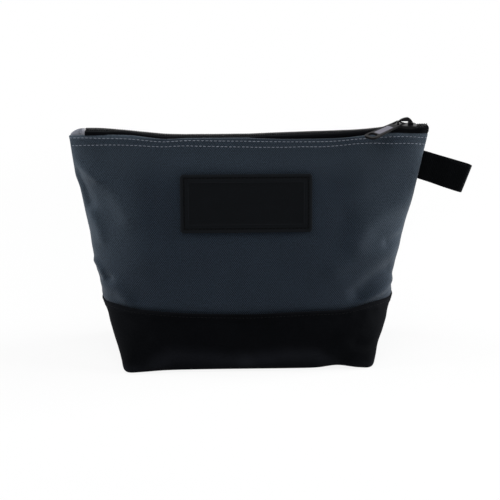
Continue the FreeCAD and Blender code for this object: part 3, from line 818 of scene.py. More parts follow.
@dataclass(frozen=True)
class BagForm:
    """Sewn shape that all the cloth follows, in millimetres, front towards -Y."""

    top_width: float = 312.0
    mouth_depth: float = 18.0
    hem_height: float = 204.0
    base_length: float = 220.0
    base_depth: float = 94.0
    seam_height: float = 52.0
    seam_width: float = 262.0
    seam_depth: float = 80.0
    base_squareness: float = 18.0
    seam_squareness: float = 3.0
    tip_sharpness: float = 1.7
    side_flare: float = 0.85
    seam_edge: float = 0.12
    tip_opening: float = 1.03
    tip_opening_start: float = 172.0
    dense: int = 1441

    def wall(self, height: float) -> tuple[float, float, float, float, float]:
        """Measures of the outline at a height.

        Args:
            height: Height above the floor.

        Returns:
            Half length, half depth, the two roundness powers and the offset at the side seams.
        """
        seam_power = 1.0 / self.seam_squareness
        if height <= self.seam_height:
            share = max(height, 0.0) / self.seam_height
            power = mix(1.0 / self.base_squareness, seam_power, share)
            half_length = mix(self.base_length, self.seam_width, share ** self.side_flare) / 2.0
            return half_length, mix(self.base_depth, self.seam_depth, share) / 2.0, power, power, 0.0
        share = (height - self.seam_height) / (self.hem_height - self.seam_height)
        opening = (height - self.tip_opening_start) / (self.hem_height - self.tip_opening_start)
        edge = self.seam_edge + self.tip_opening * float(smooth_step(opening))
        half_length = mix(self.seam_width, self.top_width, share) / 2.0
        half_depth = mix(self.seam_depth, self.mouth_depth, share) / 2.0
        tip_power = mix(seam_power, 1.0 / self.tip_sharpness, share ** 2)
        return half_length, half_depth, seam_power, tip_power, edge

    def depth(self, x: float, height: float) -> float:
        """How far a wall's face stands out from the side seams.

        Args:
            x: Place along the bag.
            height: Height above the floor.

        Returns:
            The distance.
        """
        half_length, half_depth, length_power, depth_power, edge = self.wall(height)
        reach = max(1.0 - min(abs(x) / half_length, 1.0) ** (1.0 / length_power), 0.0)
        return edge + (half_depth - edge) * reach ** depth_power

    def outline(self, height: float, inset: float, columns: int) -> Array:
        """Front half of the outline at a height, left side seam to right, evenly spaced.

        Args:
            height: Height above the floor.
            inset: How far it is drawn in.
            columns: Number of points.

        Returns:
            The points as x and y.
        """
        half_length, half_depth, length_power, depth_power, edge = self.wall(height)
        angle = np.linspace(-math.pi / 2.0, math.pi / 2.0, self.dense)
        sine = np.sin(angle)
        cosine = np.maximum(np.cos(angle), 0.0)
        x = np.sign(sine) * (half_length - inset) * np.abs(sine) ** (2.0 * length_power)
        y = -(edge + (half_depth - inset - edge) * cosine ** (2.0 * depth_power))
        return resample(np.stack([x, y], axis=1), columns)


@dataclass(frozen=True)
class SeamWander:
    """How the side seams leave their straight line, as pairs of height and shift towards +X."""

    left: Pairs = (
        (0, 0.4), (12, 1), (36, 1), (44, 1.9), (52, 1.2), (60, 0.6), (66, 2.4),
        (70, 2.4), (76, 0.2), (84, 0), (106, 0.2), (117, 1), (140, 0.6), (150, 0.6),
        (158, 0.4), (168, -1.2), (185, -0.4), (200, 0.6), (230, 0.6),
    )
    right: Pairs = (
        (0, -2.6), (5, -2.4), (12, -2.8), (20, -3.4), (28, -1.6), (38, -1), (44, -1.8),
        (52, -1.6), (60, -1.6), (68, -5.2), (76, -5), (82, -4), (91, -4.2),
        (102, -2.9), (125, -2.2), (148, 0), (168, 0.6), (200, 0.9), (230, 0.9),
    )
    hold: float = 7.0

    def apply(self, points: Array, form: BagForm) -> None:
        """Shifts points near the side seams along X.

        Args:
            points: Places to shift.
            form: The bag's shape.
        """
        x, z = points[..., 0], points[..., 2]
        climb = (z - form.seam_height) / (form.hem_height - form.seam_height)
        span = mix(form.seam_width, form.top_width, climb)
        near = np.clip(np.abs(x) / (span / 2.0), 0.0, 1.0) ** self.hold
        for pairs, here in ((self.left, x < 0.0), (self.right, x >= 0.0)):
            points[..., 0] += np.where(here, soft_curve(z, pairs, 461, 9) * near, 0.0)


@dataclass(frozen=True)
class Fold:
    """A soft ridge or, with a negative height, a dent along a line on a wall."""

    line: Pairs
    width: float
    height: float

    def relief(self, x: Array, z: Array) -> Array:
        """Height of the fold over places on a wall.

        Args:
            x: Places along the bag.
            z: Heights.

        Returns:
            How far each place stands out.
        """
        nearest = np.full(x.shape, np.inf)
        for (x0, z0), (x1, z1) in zip(self.line, self.line[1:]):
            run = (x1 - x0) ** 2 + (z1 - z0) ** 2
            share = np.clip(((x - x0) * (x1 - x0) + (z - z0) * (z1 - z0)) / run, 0.0, 1.0)
            away = np.hypot(x - x0 - share * (x1 - x0), z - z0 - share * (z1 - z0))
            nearest = np.minimum(nearest, away)
        return self.height * bell(nearest, self.width)


@dataclass(frozen=True)
class Bulge:
    """A soft swelling about one place."""

    place: float
    width: float
    height: float

    def rise(self, x: Array) -> Array:
        """Its height at places."""
        return self.height * bell(x - self.place, self.width)


@dataclass(frozen=True)
class Ramp:
    """A soft climb from 0 at its start to 1 at the end of its run."""

    start: float
    run: float

    def at(self, x: Array) -> Array:
        """Its value at places."""
        return smooth_step((x - self.start) / self.run)


@dataclass(frozen=True)
class Rumples:
    """Soft irregular unevenness of a cloth."""

    size: float
    height: float
    seed: float

    def relief(self, points: Array) -> Array:
        """Height of the unevenness over places on the cloth."""
        return self.height * rumple(points, self.size, self.seed)


FRONT_FOLDS = (
    Fold(((-152, 182), (-143, 176.5), (-131, 168)), 4, 2.1),
    Fold(((-136, 172), (-119, 158.5), (-110.5, 147), (-105.5, 136)), 9, 3.2),
    Fold(((-150, 168), (-143.5, 155), (-140, 146)), 6.5, -2.8),
    Fold(((-138, 136), (-133, 126), (-130, 115)), 5, 1.7),
    Fold(((-136, 92), (-131, 86), (-129.5, 78)), 2.6, 2),
    Fold(((-134, 77), (-124, 79)), 3.6, -2),
    Fold(((-128, 70), (-118, 70), (-110, 62)), 7, 2.2),
    Fold(((136, 146), (120, 138), (104, 128), (95, 112)), 11, 3),
    Fold(((132, 158), (110, 152), (88, 134)), 14, -1.6),
    Fold(((136, 112), (124, 109)), 4.5, -1.8),
    Fold(((126, 101), (89, 96), (74, 89)), 9, 1.5),
    Fold(((126, 84), (110, 77), (97, 67)), 7.5, -2.6),
    Fold(((131, 71), (117, 65), (107, 60), (100, 55)), 5, 2.8),
    Fold(((-70, 92), (20, 84), (70, 96)), 26, 1.2),
    Fold(((-60, 190), (10, 187), (80, 190)), 8, -0.8),
)
BACK_FOLDS = (
    Fold(((150, 180), (132, 166), (112, 150)), 8, 2.2),
    Fold(((146, 160), (138, 140)), 7, -2.2),
    Fold(((-140, 150), (-118, 138), (-98, 118)), 10, 2.6),
    Fold(((-130, 110), (-112, 100)), 6, -1.8),
    Fold(((-60, 150), (-30, 110), (-20, 76)), 22, 1.8),
    Fold(((30, 160), (60, 120), (66, 80)), 20, -1.8),
    Fold(((-126, 68), (-104, 60)), 6, 2.2),
    Fold(((128, 74), (112, 64)), 6, 2.4),
    Fold(((-90, 186), (90, 184)), 9, -0.8),
)


@dataclass
class CutCloth:
    """A cut of cloth that is laid out on the bag's shape."""

    form: BagForm
    wander: SeamWander
    grid: Array = field(init=False)
    normals: Array = field(init=False)
    coordinates: Array = field(init=False)
    worn_and_lit: Array = field(init=False)
    cut_area: float = field(init=False)

    def __post_init__(self) -> None:
        """Lays the cloth out, ready for the pieces that are sewn to it."""
        self.lay_out()

    def lay_out(self) -> None:
        """Places the cloth, each cut in its own way."""
        raise NotImplementedError


@dataclass
class UpperPanel(CutCloth):
    """One upper wall of the bag: a single cut of cloth with its top edge turned in for the hem."""

    side: Side
    folds: tuple[Fold, ...]
    dip: Pairs
    bottom: float = 46.0
    rows: int = 104
    columns: int = 261
    cloth: float = 0.8
    turn: float = 0.95
    turn_rows: int = 7
    hem_return: float = 9.5
    return_rows: int = 6
    flat_zone: tuple[float, float, float, float] = (-60.0, 55.0, 122.0, 173.0)
    flat_edge: float = 9.0
    flat_sink: float = 0.25
    slider_room: Bulge = Bulge(133.0, 15.0, 1.5)
    slider_rise: Ramp = Ramp(176.0, 28.0)
    tuck: float = 1.3
    tuck_top: float = 7.0
    tuck_run: float = 9.0
    sewn_run: float = 9.0
    seam_calm: float = 10.0
    hem_calm: float = 0.75
    sagging: Ramp = Ramp(140.0, 64.0)
    pucker: float = 0.07
    pucker_step: float = 3.1
    hem_band: float = 3.0
    hem_wear: float = 0.5
    # Painted highlights: the wall is painted paler towards its top and on its curving sides at mid height,
    # where light falls.
    top_highlight: Ramp = Ramp(158.0, 32.0)
    top_highlight_paint: float = 0.11
    side_highlight_ends: Ramp = Ramp(84.0, 34.0)
    side_highlight_height: Bulge = Bulge(132.0, 46.0, 1.0)
    side_highlight_paint: float = 0.2
    seam_band: float = 9.0
    seam_wear: float = 0.14

    def rest_rows(self) -> tuple[Array, Array, Array]:
        """Rows of the cloth up the wall and over the turned hem.

        Returns:
            Height of each row, the height whose outline it takes, and how far it is drawn in.
        """
        crest = self.form.hem_height - self.turn
        wall = np.linspace(self.bottom, crest, self.rows)
        angle = np.linspace(0.0, math.pi, self.turn_rows + 1)[1:]
        inside = np.linspace(crest, self.form.hem_height - self.hem_return, self.return_rows + 1)[1:]
        heights = np.concatenate([wall, crest + self.turn * np.sin(angle), inside])
        shapes = np.concatenate([wall, np.full(len(angle) + len(inside), crest)])
        tucked = self.tuck * smooth_step((self.form.seam_height + self.tuck_top - wall) / self.tuck_run)
        turned = self.turn * (1.0 - np.cos(angle))
        insets = np.concatenate([tucked, turned, np.full(len(inside), 2.0 * self.turn)])
        return heights, shapes, insets

    def lay_out(self) -> None:
        """Places the cloth: the sewn shape, then folds, rumples and the sag of the mouth."""
        heights, shapes, insets = self.rest_rows()
        rows = []
        for height, shape, inset in zip(heights, shapes, insets):
            plan = self.form.outline(float(shape), float(inset), self.columns)
            rows.append(np.column_stack([plan, np.full(self.columns, height)]))
        grid = np.array(rows)
        reach = run_across(grid[: self.rows])
        climb = travel(grid[:, self.columns // 2])
        centred = reach - reach[:, -1:] / 2.0
        centred = np.concatenate([centred, np.repeat(centred[-1:], len(heights) - self.rows, axis=0)])
        self.coordinates = side_by_side(centred, climb[:, None])
        self.cut_area = grid_area(grid)
        wall = grid[: self.rows]
        rise = self.wall_relief(wall, np.minimum(reach, reach[:, -1:] - reach))
        shift = grid_normals(wall) * rise[..., None]
        grid[: self.rows] += shift
        grid[self.rows:] += shift[-1]
        self.wander.apply(grid, self.form)
        grid[..., 2] -= soft_curve(grid[..., 0], self.dip, 341, 13) * self.sagging.at(grid[..., 2])
        normals = grid_normals(grid)
        if self.side is Side.BACK:
            grid, normals = grid * MIRRORED, normals * MIRRORED
        self.grid = grid
        self.normals = normals
        self.worn_and_lit = self.worn_and_lit_places()

    def worn_and_lit_places(self) -> Array:
        """How worn the cloth is at its hem and seams, with painted highlights towards the top of the wall and
        on its curving sides.

        Returns:
            A value from 0 to 1 for each place.
        """
        out, z = np.abs(self.grid[..., 0]), self.grid[..., 2]
        near_hem = smooth_step((z - self.form.hem_height + self.hem_band) / self.hem_band)
        near_seam = bell(out - self.form.top_width / 2.0, self.seam_band)
        # Painted highlights: rubbed is the painted highlight on the curving sides, and the top of the wall is
        # painted paler.
        rubbed = self.side_highlight_ends.at(out) * self.side_highlight_height.rise(z)
        painted_highlight = self.top_highlight_paint * self.top_highlight.at(z) + self.side_highlight_paint * rubbed
        return np.maximum(self.hem_wear * near_hem, painted_highlight) + self.seam_wear * near_seam

    def wall_relief(self, wall: Array, from_seam: Array) -> Array:
        """How far the cloth stands out from its sewn shape.

        Args:
            wall: Places on the wall.
            from_seam: Distance of each along the cloth from the nearer side seam.

        Returns:
            The height of its folds and rumples.
        """
        x, z = wall[..., 0], wall[..., 2]
        rise = sum(fold.relief(x, z) for fold in self.folds)
        rise = rise + Rumples(size=46.0, height=0.7, seed=3.0 * self.side.value).relief(wall)
        rise = rise + Rumples(size=15.0, height=0.25, seed=9.0).relief(wall)
        sewn = smooth_step((z - self.form.seam_height - base_rise(x) + 1.0) / self.sewn_run)
        rise = np.where(rise > 0.0, rise * sewn, rise)
        gathers = np.sin(x / self.pucker_step) * bell(z - self.form.hem_height + 8.4, 2.4)
        rise = rise + self.pucker * gathers
        left, right, low, high = self.flat_zone
        within = np.minimum(np.minimum(x - left, right - x), np.minimum(z - low, high - z))
        inside = smooth_step(within / self.flat_edge + 1.0)
        if self.side is Side.FRONT:
            rise = rise * (1.0 - inside) - self.flat_sink * inside
        hem = 1.0 - self.hem_calm * smooth_step((z - self.form.hem_height + 16.0) / 12.0)
        parted = self.slider_room.rise(np.abs(x)) * self.slider_rise.at(z)
        return (rise * hem + parted) * smooth_step(from_seam / self.seam_calm)

    def sheet(self, name: str, columns: slice, material: Material) -> Piece:
        """Makes the cloth, or one half of it.

        Args:
            name: Name of the piece.
            columns: Which columns of the cloth it has.
            material: Its finish.

        Returns:
            The piece.
        """
        draft = MeshDraft()
        layers = [layer[:, columns] for layer in (self.grid, self.normals, self.coordinates, self.worn_and_lit)]
        if self.side is Side.BACK:
            layers = [layer[:, ::-1] for layer in layers]
        grid, normals, coordinates, worn_and_lit = layers
        draft.sheet(grid, normals, coordinates, self.cloth, worn_and_lit)
        return draft.piece(name, material)

    def row_below(self, pairs: Pairs) -> tuple[Array, Array]:
        """A line along the cloth under its top edge.

        Args:
            pairs: Places along the bag with the distance below the edge at each.

        Returns:
            The line's points and the cloth's normals along it.
        """
        climb = self.coordinates[: self.rows, 0, 1]
        wanted = climb[-1] - np.interp(self.grid[self.rows - 1, :, 0], *zip(*pairs))
        row = np.clip(np.searchsorted(climb, wanted), 1, self.rows - 1)
        share = ((wanted - climb[row - 1]) / (climb[row] - climb[row - 1]))[:, None]
        column = np.arange(self.columns)
        points = mix(self.grid[row - 1, column], self.grid[row, column], share)
        return points, unit(mix(self.normals[row - 1, column], self.normals[row, column], share))

    def flat_size(self, share: float = 1.0) -> tuple[tuple[float, float], float]:
        """Size of the flat cut, or of a share of its width.

        Args:
            share: The share of its width.

        Returns:
            Its width and length, and its area, in metres.
        """
        width = float(np.ptp(self.coordinates[self.rows - 1, :, 0])) * share
        length = float(np.ptp(self.coordinates[:, 0, 1]))
        return (width * MM, length * MM), min(self.cut_area * share, width * length) * MM * MM


@dataclass
class ThreadRun:
    """A row of lockstitches, each a short bridge of thread that dips into the cloth at both ends."""

    pitch: float = 3.7
    length: float = 2.3
    radius: float = 0.27
    margin: float = 1.4
    lift: float = 0.16
    dive: float = 0.28
    thin: float = 0.72
    swell: float = 0.28
    stray: float = 0.12
    stray_step: float = 2.4
    rings: int = 7
    sides: int = 6
    draft: MeshDraft = field(default_factory=MeshDraft)

    def sew(self, points: Array, normals: Array) -> None:
        """Adds stitches along a line on a face.

        Args:
            points: The line.
            normals: The face's normals along it.
        """
        travelled = travel(points)
        count = int((travelled[-1] - 2.0 * self.margin) / self.pitch) + 1
        start = (travelled[-1] - (count - 1) * self.pitch) / 2.0
        share = np.linspace(-0.5, 0.5, self.rings)
        arch = 1.0 - (2.0 * np.abs(share)) ** 3
        for number in range(count):
            stray = self.stray * math.sin(number * self.stray_step)
            reach = start + number * self.pitch + share * self.length + stray
            out = unit(at_distances(reach, travelled, normals))
            path = at_distances(reach, travelled, points)
            path = path + out * (self.lift + self.dive * (arch - 1.0))[:, None]
            self.draft.tube(path, self.radius * (self.thin + self.swell * arch), self.sides, out)

    def piece(self, name: str, material: Material) -> Piece:
        """Makes the row."""
        return self.draft.piece(name, material)


HEM_DIP = (
    (-170, 0), (-156, -0.2), (-142, -1.8), (-126, -1.9), (-118, -2), (-109, -1.8),
    (-101, -1.6), (-92, -0.4), (-84, 0.8), (-75, 1.8), (-66, 1.8), (-58, 1), (-2, 1),
    (11, 1.8), (20, 2), (29, 2.6), (46, 2.5), (72, 2.3), (81, 2), (90, 1.2),
    (107, -0.8), (124, -2.4), (142, -2.3), (151, -0.6), (157, 0.2), (170, 0.4),
)
HEM_ROWS = (
    (
        (-150, 1.3), (-126, 2), (-101, 2.1), (-84, 1.7), (-66, 1), (-49, 1), (-15, 1.7),
        (3, 1.8), (29, 1.1), (63, 1.5), (90, 1.1), (107, 2), (124, 2.7), (150, 3),
    ),
    (
        (-150, 8.3), (-126, 7.7), (-101, 7.5), (-84, 6.2), (-66, 5.3), (-49, 5.7), (-15, 6.7),
        (3, 6.8), (29, 6), (46, 5.6), (63, 6), (81, 5.3), (93, 5.2), (107, 6.4),
        (124, 8.7), (150, 9),
    ),
)
BASE_RISE = (
    (-136, 3.6), (-131, 3.9), (-125, 4.7), (-120, 4.8), (-115, 4.3), (-110, 3.6), (-105, 2.9),
    (-100, 2.5), (-95, 2.2), (-82, 1.4), (-72, 0.9), (-60, 0.3), (-35, -0.5), (0, -1.2),
    (12, -1), (22, -0.4), (38, 0.2), (57, 0.6), (76, 0.4), (84, 0.3), (90, 1.1), (95, 2.1),
    (100, 3.1), (105, 4.1), (110, 4.8), (115, 5.3), (126, 5.5), (131, 4.8), (136, 4.6),
)
MOUTH_DIP = (
    (-170, 0), (-135, 0), (-121, 0.5), (-108, 1.5), (-98, 2.6), (-86, 4), (-73, 5.4),
    (-58, 5.9), (-30, 6), (0, 5.9), (17, 5.2), (45, 4.3), (73, 3.5), (90, 2.9), (102, 2.1),
    (112, 1.1), (122, 0.3), (128, 0), (141, 0), (150, -1.6), (158, -1.9), (170, -1.9),
)
BASE_FOLDS = (
    (Side.FRONT, Fold(((-84, 4), (-68, 14), (-44, 12), (-10, 8)), 8, 1.7)),
    (Side.FRONT, Fold(((0, 8), (30, 13), (58, 13), (72, 3)), 8, 1.9)),
    (Side.FRONT, Fold(((96, 22), (112, 18)), 5, -1.6)),
    (Side.FRONT, Fold(((104, 40), (84, 30)), 8, 1)),
    (Side.FRONT, Fold(((-112, 38), (-92, 30)), 8, -1.2)),
    (Side.BACK, Fold(((-80, 14), (-40, 24)), 8, 1.5)),
    (Side.BACK, Fold(((30, 20), (80, 12)), 9, 1.4)),
)
BASE_RUMPLES = (Rumples(34.0, 0.6, 21.0), Rumples(11.0, 0.2, 5.0))


@dataclass
class BasePanel(CutCloth):
    """Dark boat-shaped lower cloth: walls lapped over the upper panels, a soft fold and the floor."""

    half_columns: int = 181
    stand_off: float = 1.4
    cloth: float = 1.1
    wall_rows: int = 44
    fold: float = 4.5
    fold_rows: int = 9
    floor_rows: int = 9
    edge_round: float = 0.55
    edge_fullness: float = 0.5
    edge_depth: float = 6.2
    edge_rows: int = 5
    stitch_drop: float = 3.3
    stitch_sink: float = 0.3
    stitch_spread: float = 0.9
    pucker: float = 0.16
    pucker_step: float = 2.6
    pucker_spread: float = 3.0
    floor_calm: float = 8.0
    free_cloth: Ramp = Ramp(4.0, 10.0)
    front_side: Ramp = Ramp(26.0, 16.0)
    upper_wall: Ramp = Ramp(20.0, 32.0)
    arches: tuple[Bulge, ...] = (Bulge(78.0, 13.0, 2.6), Bulge(-30.0, 40.0, 0.2))
    swells: tuple[Bulge, ...] = (Bulge(-106.0, 22.0, 4.6), Bulge(104.0, 12.0, 1.2))
    corner_forward: float = 2.4
    corner_sideways: float = 1.4
    fold_wear: Bulge = Bulge(2.0, 4.0, 0.30)
    worn_ends: Ramp = Ramp(84.0, 30.0)
    edge_band: float = 1.2
    edge_wear: float = 0.08
    ridge_highlight_top: float = 30.0
    # Painted highlight: raised ridges low on the base are painted paler, where they catch the light.
    ridge_highlight_run: float = 16.0
    ridge_highlight_paint: float = 0.18

    def ring(self, height: float, shape: float, inset: float) -> Array:
        """One closed row of the cloth, anticlockwise from the left seam along the front.

        Args:
            height: Height of the row.
            shape: Height whose outline it takes.
            inset: How far it is drawn in from the outer face.

        Returns:
            The points.
        """
        front = self.form.outline(shape, inset - self.stand_off, self.half_columns)
        front[0, 1] = front[-1, 1] = 0.0
        back = front[-2:0:-1] * MIRRORED[:2]
        plan = np.concatenate([front, back])
        return np.column_stack([plan, np.full(len(plan), height)])

    def lay_out(self) -> None:
        """Places the cloth from the middle of the floor up to the turned edge."""
        top = self.form.seam_height
        rows = []
        half_depth = self.form.base_depth / 2.0 + self.stand_off
        for inset in np.linspace(half_depth - 0.4, self.fold, self.floor_rows, endpoint=False):
            rows.append(self.ring(0.0, 0.0, float(inset)))
        for angle in np.linspace(0.0, math.pi / 2.0, self.fold_rows, endpoint=False):
            height = self.fold * (1.0 - math.cos(angle))
            rows.append(self.ring(height, height, self.fold * (1.0 - math.sin(angle))))
        for height in np.linspace(self.fold, top - self.edge_round, self.wall_rows):
            rows.append(self.ring(float(height), float(height), 0.0))
        for angle in np.linspace(0.0, math.pi / 2.0, self.edge_rows)[1:]:
            height = top - self.edge_round * (1.0 - math.sin(angle))
            rows.append(self.ring(height, top, self.edge_round * (1.0 - math.cos(angle))))
        grid = np.array(rows)
        climb = travel(grid[:, self.half_columns // 2])
        around = np.linalg.norm(np.roll(grid[-1], -1, axis=0) - grid[-1], axis=1)
        run = np.concatenate([[0.0], np.cumsum(around)[:-1]])
        self.coordinates = side_by_side(run[None, :], climb[:, None])
        self.cut_area = grid_area(np.concatenate([grid, grid[:, :1]], axis=1))
        grid = grid + grid_normals(grid, True) * self.relief(grid)[..., None]
        self.bend(grid)
        self.wander.apply(grid, self.form)
        grid[..., 2] = np.maximum(grid[..., 2], 0.0)
        self.grid = grid
        self.normals = grid_normals(grid, True)
        self.worn_and_lit = self.worn_and_lit_places()

    def worn_and_lit_places(self) -> Array:
        """How worn the cloth is along the floor's fold and at its top edge, with a painted highlight on its
        lower ridges.

        Returns:
            A value from 0 to 1 for each place.
        """
        x, z = self.grid[..., 0], self.grid[..., 2]
        worn = self.fold_wear.rise(z) * (0.35 + 0.65 * self.worn_ends.at(np.abs(x)))
        edge = smooth_step((z - self.form.seam_height + self.edge_band) / self.edge_band)
        # Painted highlight on the raised ridges low on the base.
        low = smooth_step((self.ridge_highlight_top - z) / self.ridge_highlight_run)
        lit_ridges = np.maximum(self.relief(self.grid), 0.0) * low
        return worn + self.edge_wear * edge + self.ridge_highlight_paint * lit_ridges

    def relief(self, grid: Array) -> Array:
        """How far the cloth stands out from its sewn shape.

        Args:
            grid: Places on the cloth.

        Returns:
            The height of its folds, rumples and lapped edge.
        """
        x, y, z = (grid[..., axis] for axis in range(3))
        walls = {Side.FRONT: y < 0.0, Side.BACK: y >= 0.0}
        rise = sum(np.where(walls[side], fold.relief(x, z), 0.0) for side, fold in BASE_FOLDS)
        for rumples in BASE_RUMPLES:
            rise = rise + rumples.relief(grid)
        drop = self.form.seam_height - z
        lap = self.edge_fullness * smooth_step(self.edge_depth - drop)
        sewn = self.stitch_sink * bell(drop - self.stitch_drop, self.stitch_spread)
        pucker = self.pucker * np.sin((x + y) / self.pucker_step)
        pucker = pucker * bell(drop - self.edge_depth, self.pucker_spread)
        rise = rise * self.free_cloth.at(drop)
        return smooth_step(z / self.floor_calm) * (rise + lap - sewn + pucker)

    def bend(self, grid: Array) -> None:
        """Lifts the front edge of the floor, pushes its corners out and gives the top edge its line.

        Args:
            grid: Places on the cloth, changed in place.
        """
        x, y, z = (grid[..., axis] for axis in range(3))
        front = self.front_side.at(-y)
        arch = sum(bulge.rise(x) for bulge in self.arches)
        grid[..., 2] += arch * front * np.exp(-z / 16.0) + base_rise(x) * self.upper_wall.at(z)
        forward = sum(bulge.rise(x) for bulge in self.swells)
        corner = np.exp(-(((np.abs(x) - 109.0) / 7.0) ** 2) - ((y + 45.0) / 9.0) ** 2 - z / 9.0)
        grid[..., 1] -= forward * front * np.exp(-z / 14.0) + self.corner_forward * corner
        grid[..., 0] += np.sign(x) * self.corner_sideways * corner

    def sheet(self, material: Material) -> Piece:
        """Makes the cloth.

        Args:
            material: Its finish.

        Returns:
            The piece.
        """
        draft = MeshDraft()
        draft.sheet(self.grid, self.normals, self.coordinates, self.cloth, self.worn_and_lit, True)
        return draft.piece("base_cloth", material)

    def stitching(self, material: Material) -> Piece:
        """Makes the topstitching a little below the turned edge, all the way round.

        Args:
            material: Its finish.

        Returns:
            The piece.
        """
        climb = self.coordinates[:, 0, 1]
        row = int(np.argmin(np.abs(climb - climb[-1] + self.stitch_drop)))
        run = ThreadRun(pitch=3.3, length=2.4, radius=0.24, margin=1.0, lift=0.1)
        run.sew(*(np.concatenate([layer[row], layer[row, :1]]) for layer in (self.grid, self.normals)))
        return run.piece("base_topstitching", material)

    def flat_size(self) -> tuple[tuple[float, float], float]:
        """Size of the flat cut before its corners were boxed.

        Returns:
            Its width and length, and the area of its cloth, in metres.
        """
        width = float(np.ptp(self.grid[..., 0])) + 2.0 * self.form.seam_height
        length = 2.0 * float(self.coordinates[-1, 0, 1])
        return (width * MM, length * MM), min(self.cut_area, width * length) * MM * MM


@dataclass
class Zipper:
    """Two tapes sewn inside the hems, with a wound coil along each edge."""

    form: BagForm
    left: float = -141.0
    right: float = 156.4
    slider: float = 137.0
    slider_length: float = 19.0
    slider_width: float = 13.4
    tape: float = 0.6
    tape_top: float = 208.5
    tape_tuck: float = 11.0
    shoulder: float = 4.3
    parting: float = 0.4
    hem_room: float = 2.6
    least_hem: float = 1.2
    slider_side: float = 0.6
    lip_room: float = 0.5
    elbow_height: float = 206.4
    tape_columns: int = 22
    coil_height: float = 1.7
    coil_pitch: float = 2.0
    coil_reach: float = 1.75
    coil_middle: float = 0.75
    coil_flatness: float = 0.8
    coil_lift: float = 0.05
    wire: float = 0.34
    wire_sides: int = 6
    turn_points: int = 14
    spread: float = 2.7
    stations: int = 201

    def dip(self, x: Array) -> Array:
        """How far the chain sags below its level ends."""
        return soft_curve(x, MOUTH_DIP, 681, 21)

    def parted(self, x: Array) -> Array:
        """Sideways spread of the coils past the slider's wedge.

        Args:
            x: Places along the zipper.

        Returns:
            How far each coil is pushed aside there.
        """
        apart = smooth_step((x - self.slider + 2.0) / 7.0)
        nose = self.slider + self.slider_length / 2.0
        return self.spread * apart * (1.0 - 0.5 * smooth_step((x - nose) / (self.right - nose)))

    def section(self, x: float) -> Array:
        """Outer face of the front tape across its width at one place, coil edge first.

        Args:
            x: Place along the zipper.

        Returns:
            The points as y and z.
        """
        length = self.slider_length
        park = 1.0 - float(smooth_step((abs(abs(x) - self.slider) - length * 0.6) / length))
        past = float(smooth_step((abs(x) - self.slider - length * 0.25) / (length * 0.35)))
        top = self.tape_top - float(self.dip(np.array(x)))
        inner = self.parting + float(self.parted(np.array(x)))
        hem = max(self.form.depth(x, self.form.hem_height) - self.hem_room, self.least_hem)
        shoulder = mix(min(self.shoulder, hem - 0.3), self.slider_width / 2.0 + self.slider_side, park)
        lip = min(self.form.hem_height + self.lip_room, top - self.lip_room)
        elbow_z = mix(mix(top, lip, 0.4), self.elbow_height, park)
        elbow = (mix(mix(shoulder, hem, 0.55), shoulder, park), elbow_z)
        foot = lip - self.tape_tuck * (1.0 - past) - 0.4
        corners = [(inner, top), (mix(inner, shoulder, 0.55), top), (shoulder, top - 0.05)]
        corners += [elbow, (hem, lip), (hem, foot)]
        line = np.array([(-y, z) for y, z in corners])
        return soft_line(line, 61, 5, self.tape_columns, held=True)

    def tape_grid(self, side: Side) -> tuple[Array, Array]:
        """Places and flat coordinates of one tape, rows along the zipper.

        Args:
            side: Which wall it is sewn to.

        Returns:
            The grid and its coordinates.
        """
        along = np.linspace(self.left, self.right, self.stations)
        rows = [np.column_stack([np.full(self.tape_columns, x), self.section(float(x))]) for x in along]
        grid = np.array(rows) * np.array([1.0, -float(side.value), 1.0])
        grid[..., 2] += Rumples(size=9.0, height=0.12, seed=2.0).relief(grid)
        return grid, side_by_side(along[:, None], run_across(grid))

    def tape_piece(self, name: str, side: Side, rows: slice, material: Material) -> Piece:
        """Makes one tape, or one half of it.

        Args:
            name: Name of the piece.
            side: Which wall it is sewn to.
            rows: Which stations along the zipper it has.
            material: Its finish.

        Returns:
            The piece.
        """
        grid, cloth = self.tape_grid(side)
        if side is Side.FRONT:
            grid, cloth = grid[:, ::-1], cloth[:, ::-1]
        normals = grid_normals(grid)
        if normals[self.stations // 2, self.tape_columns // 2, 2] < 0.0:
            normals = -normals
        draft = MeshDraft()
        draft.sheet(grid[rows], normals[rows], cloth[rows], self.tape)
        return draft.piece(name, material)

    def coil_piece(self, name: str, side: Side, start: float, end: float, material: Material) -> Piece:
        """Makes a run of wound coil along one tape's edge.

        Args:
            name: Name of the piece.
            side: Which tape it is on.
            start: Where it starts along the zipper.
            end: Where it ends.
            material: Its finish.

        Returns:
            The piece.
        """
        turns = round((end - start) / self.coil_pitch)
        turn = np.linspace(0.0, 2.0 * math.pi * turns, turns * self.turn_points + 1)
        phase = 0.0 if side is Side.FRONT else math.pi
        x = start + (end - start) * turn / turn[-1]
        swing = np.cos(turn + phase)
        flat = np.sign(swing) * np.abs(swing) ** self.coil_flatness
        y = self.coil_middle - self.coil_reach * flat + self.parted(x)
        rise = self.coil_height / 2.0 - self.wire
        z = self.tape_top - self.dip(x) + self.coil_height / 2.0 + rise * np.sin(turn + phase)
        path = np.column_stack([x, y * side.value, z + self.coil_lift])
        draft = MeshDraft()
        draft.tube(path, self.wire, self.wire_sides, np.array([1.0, 0.0, 0.0]))
        return draft.piece(name, material)


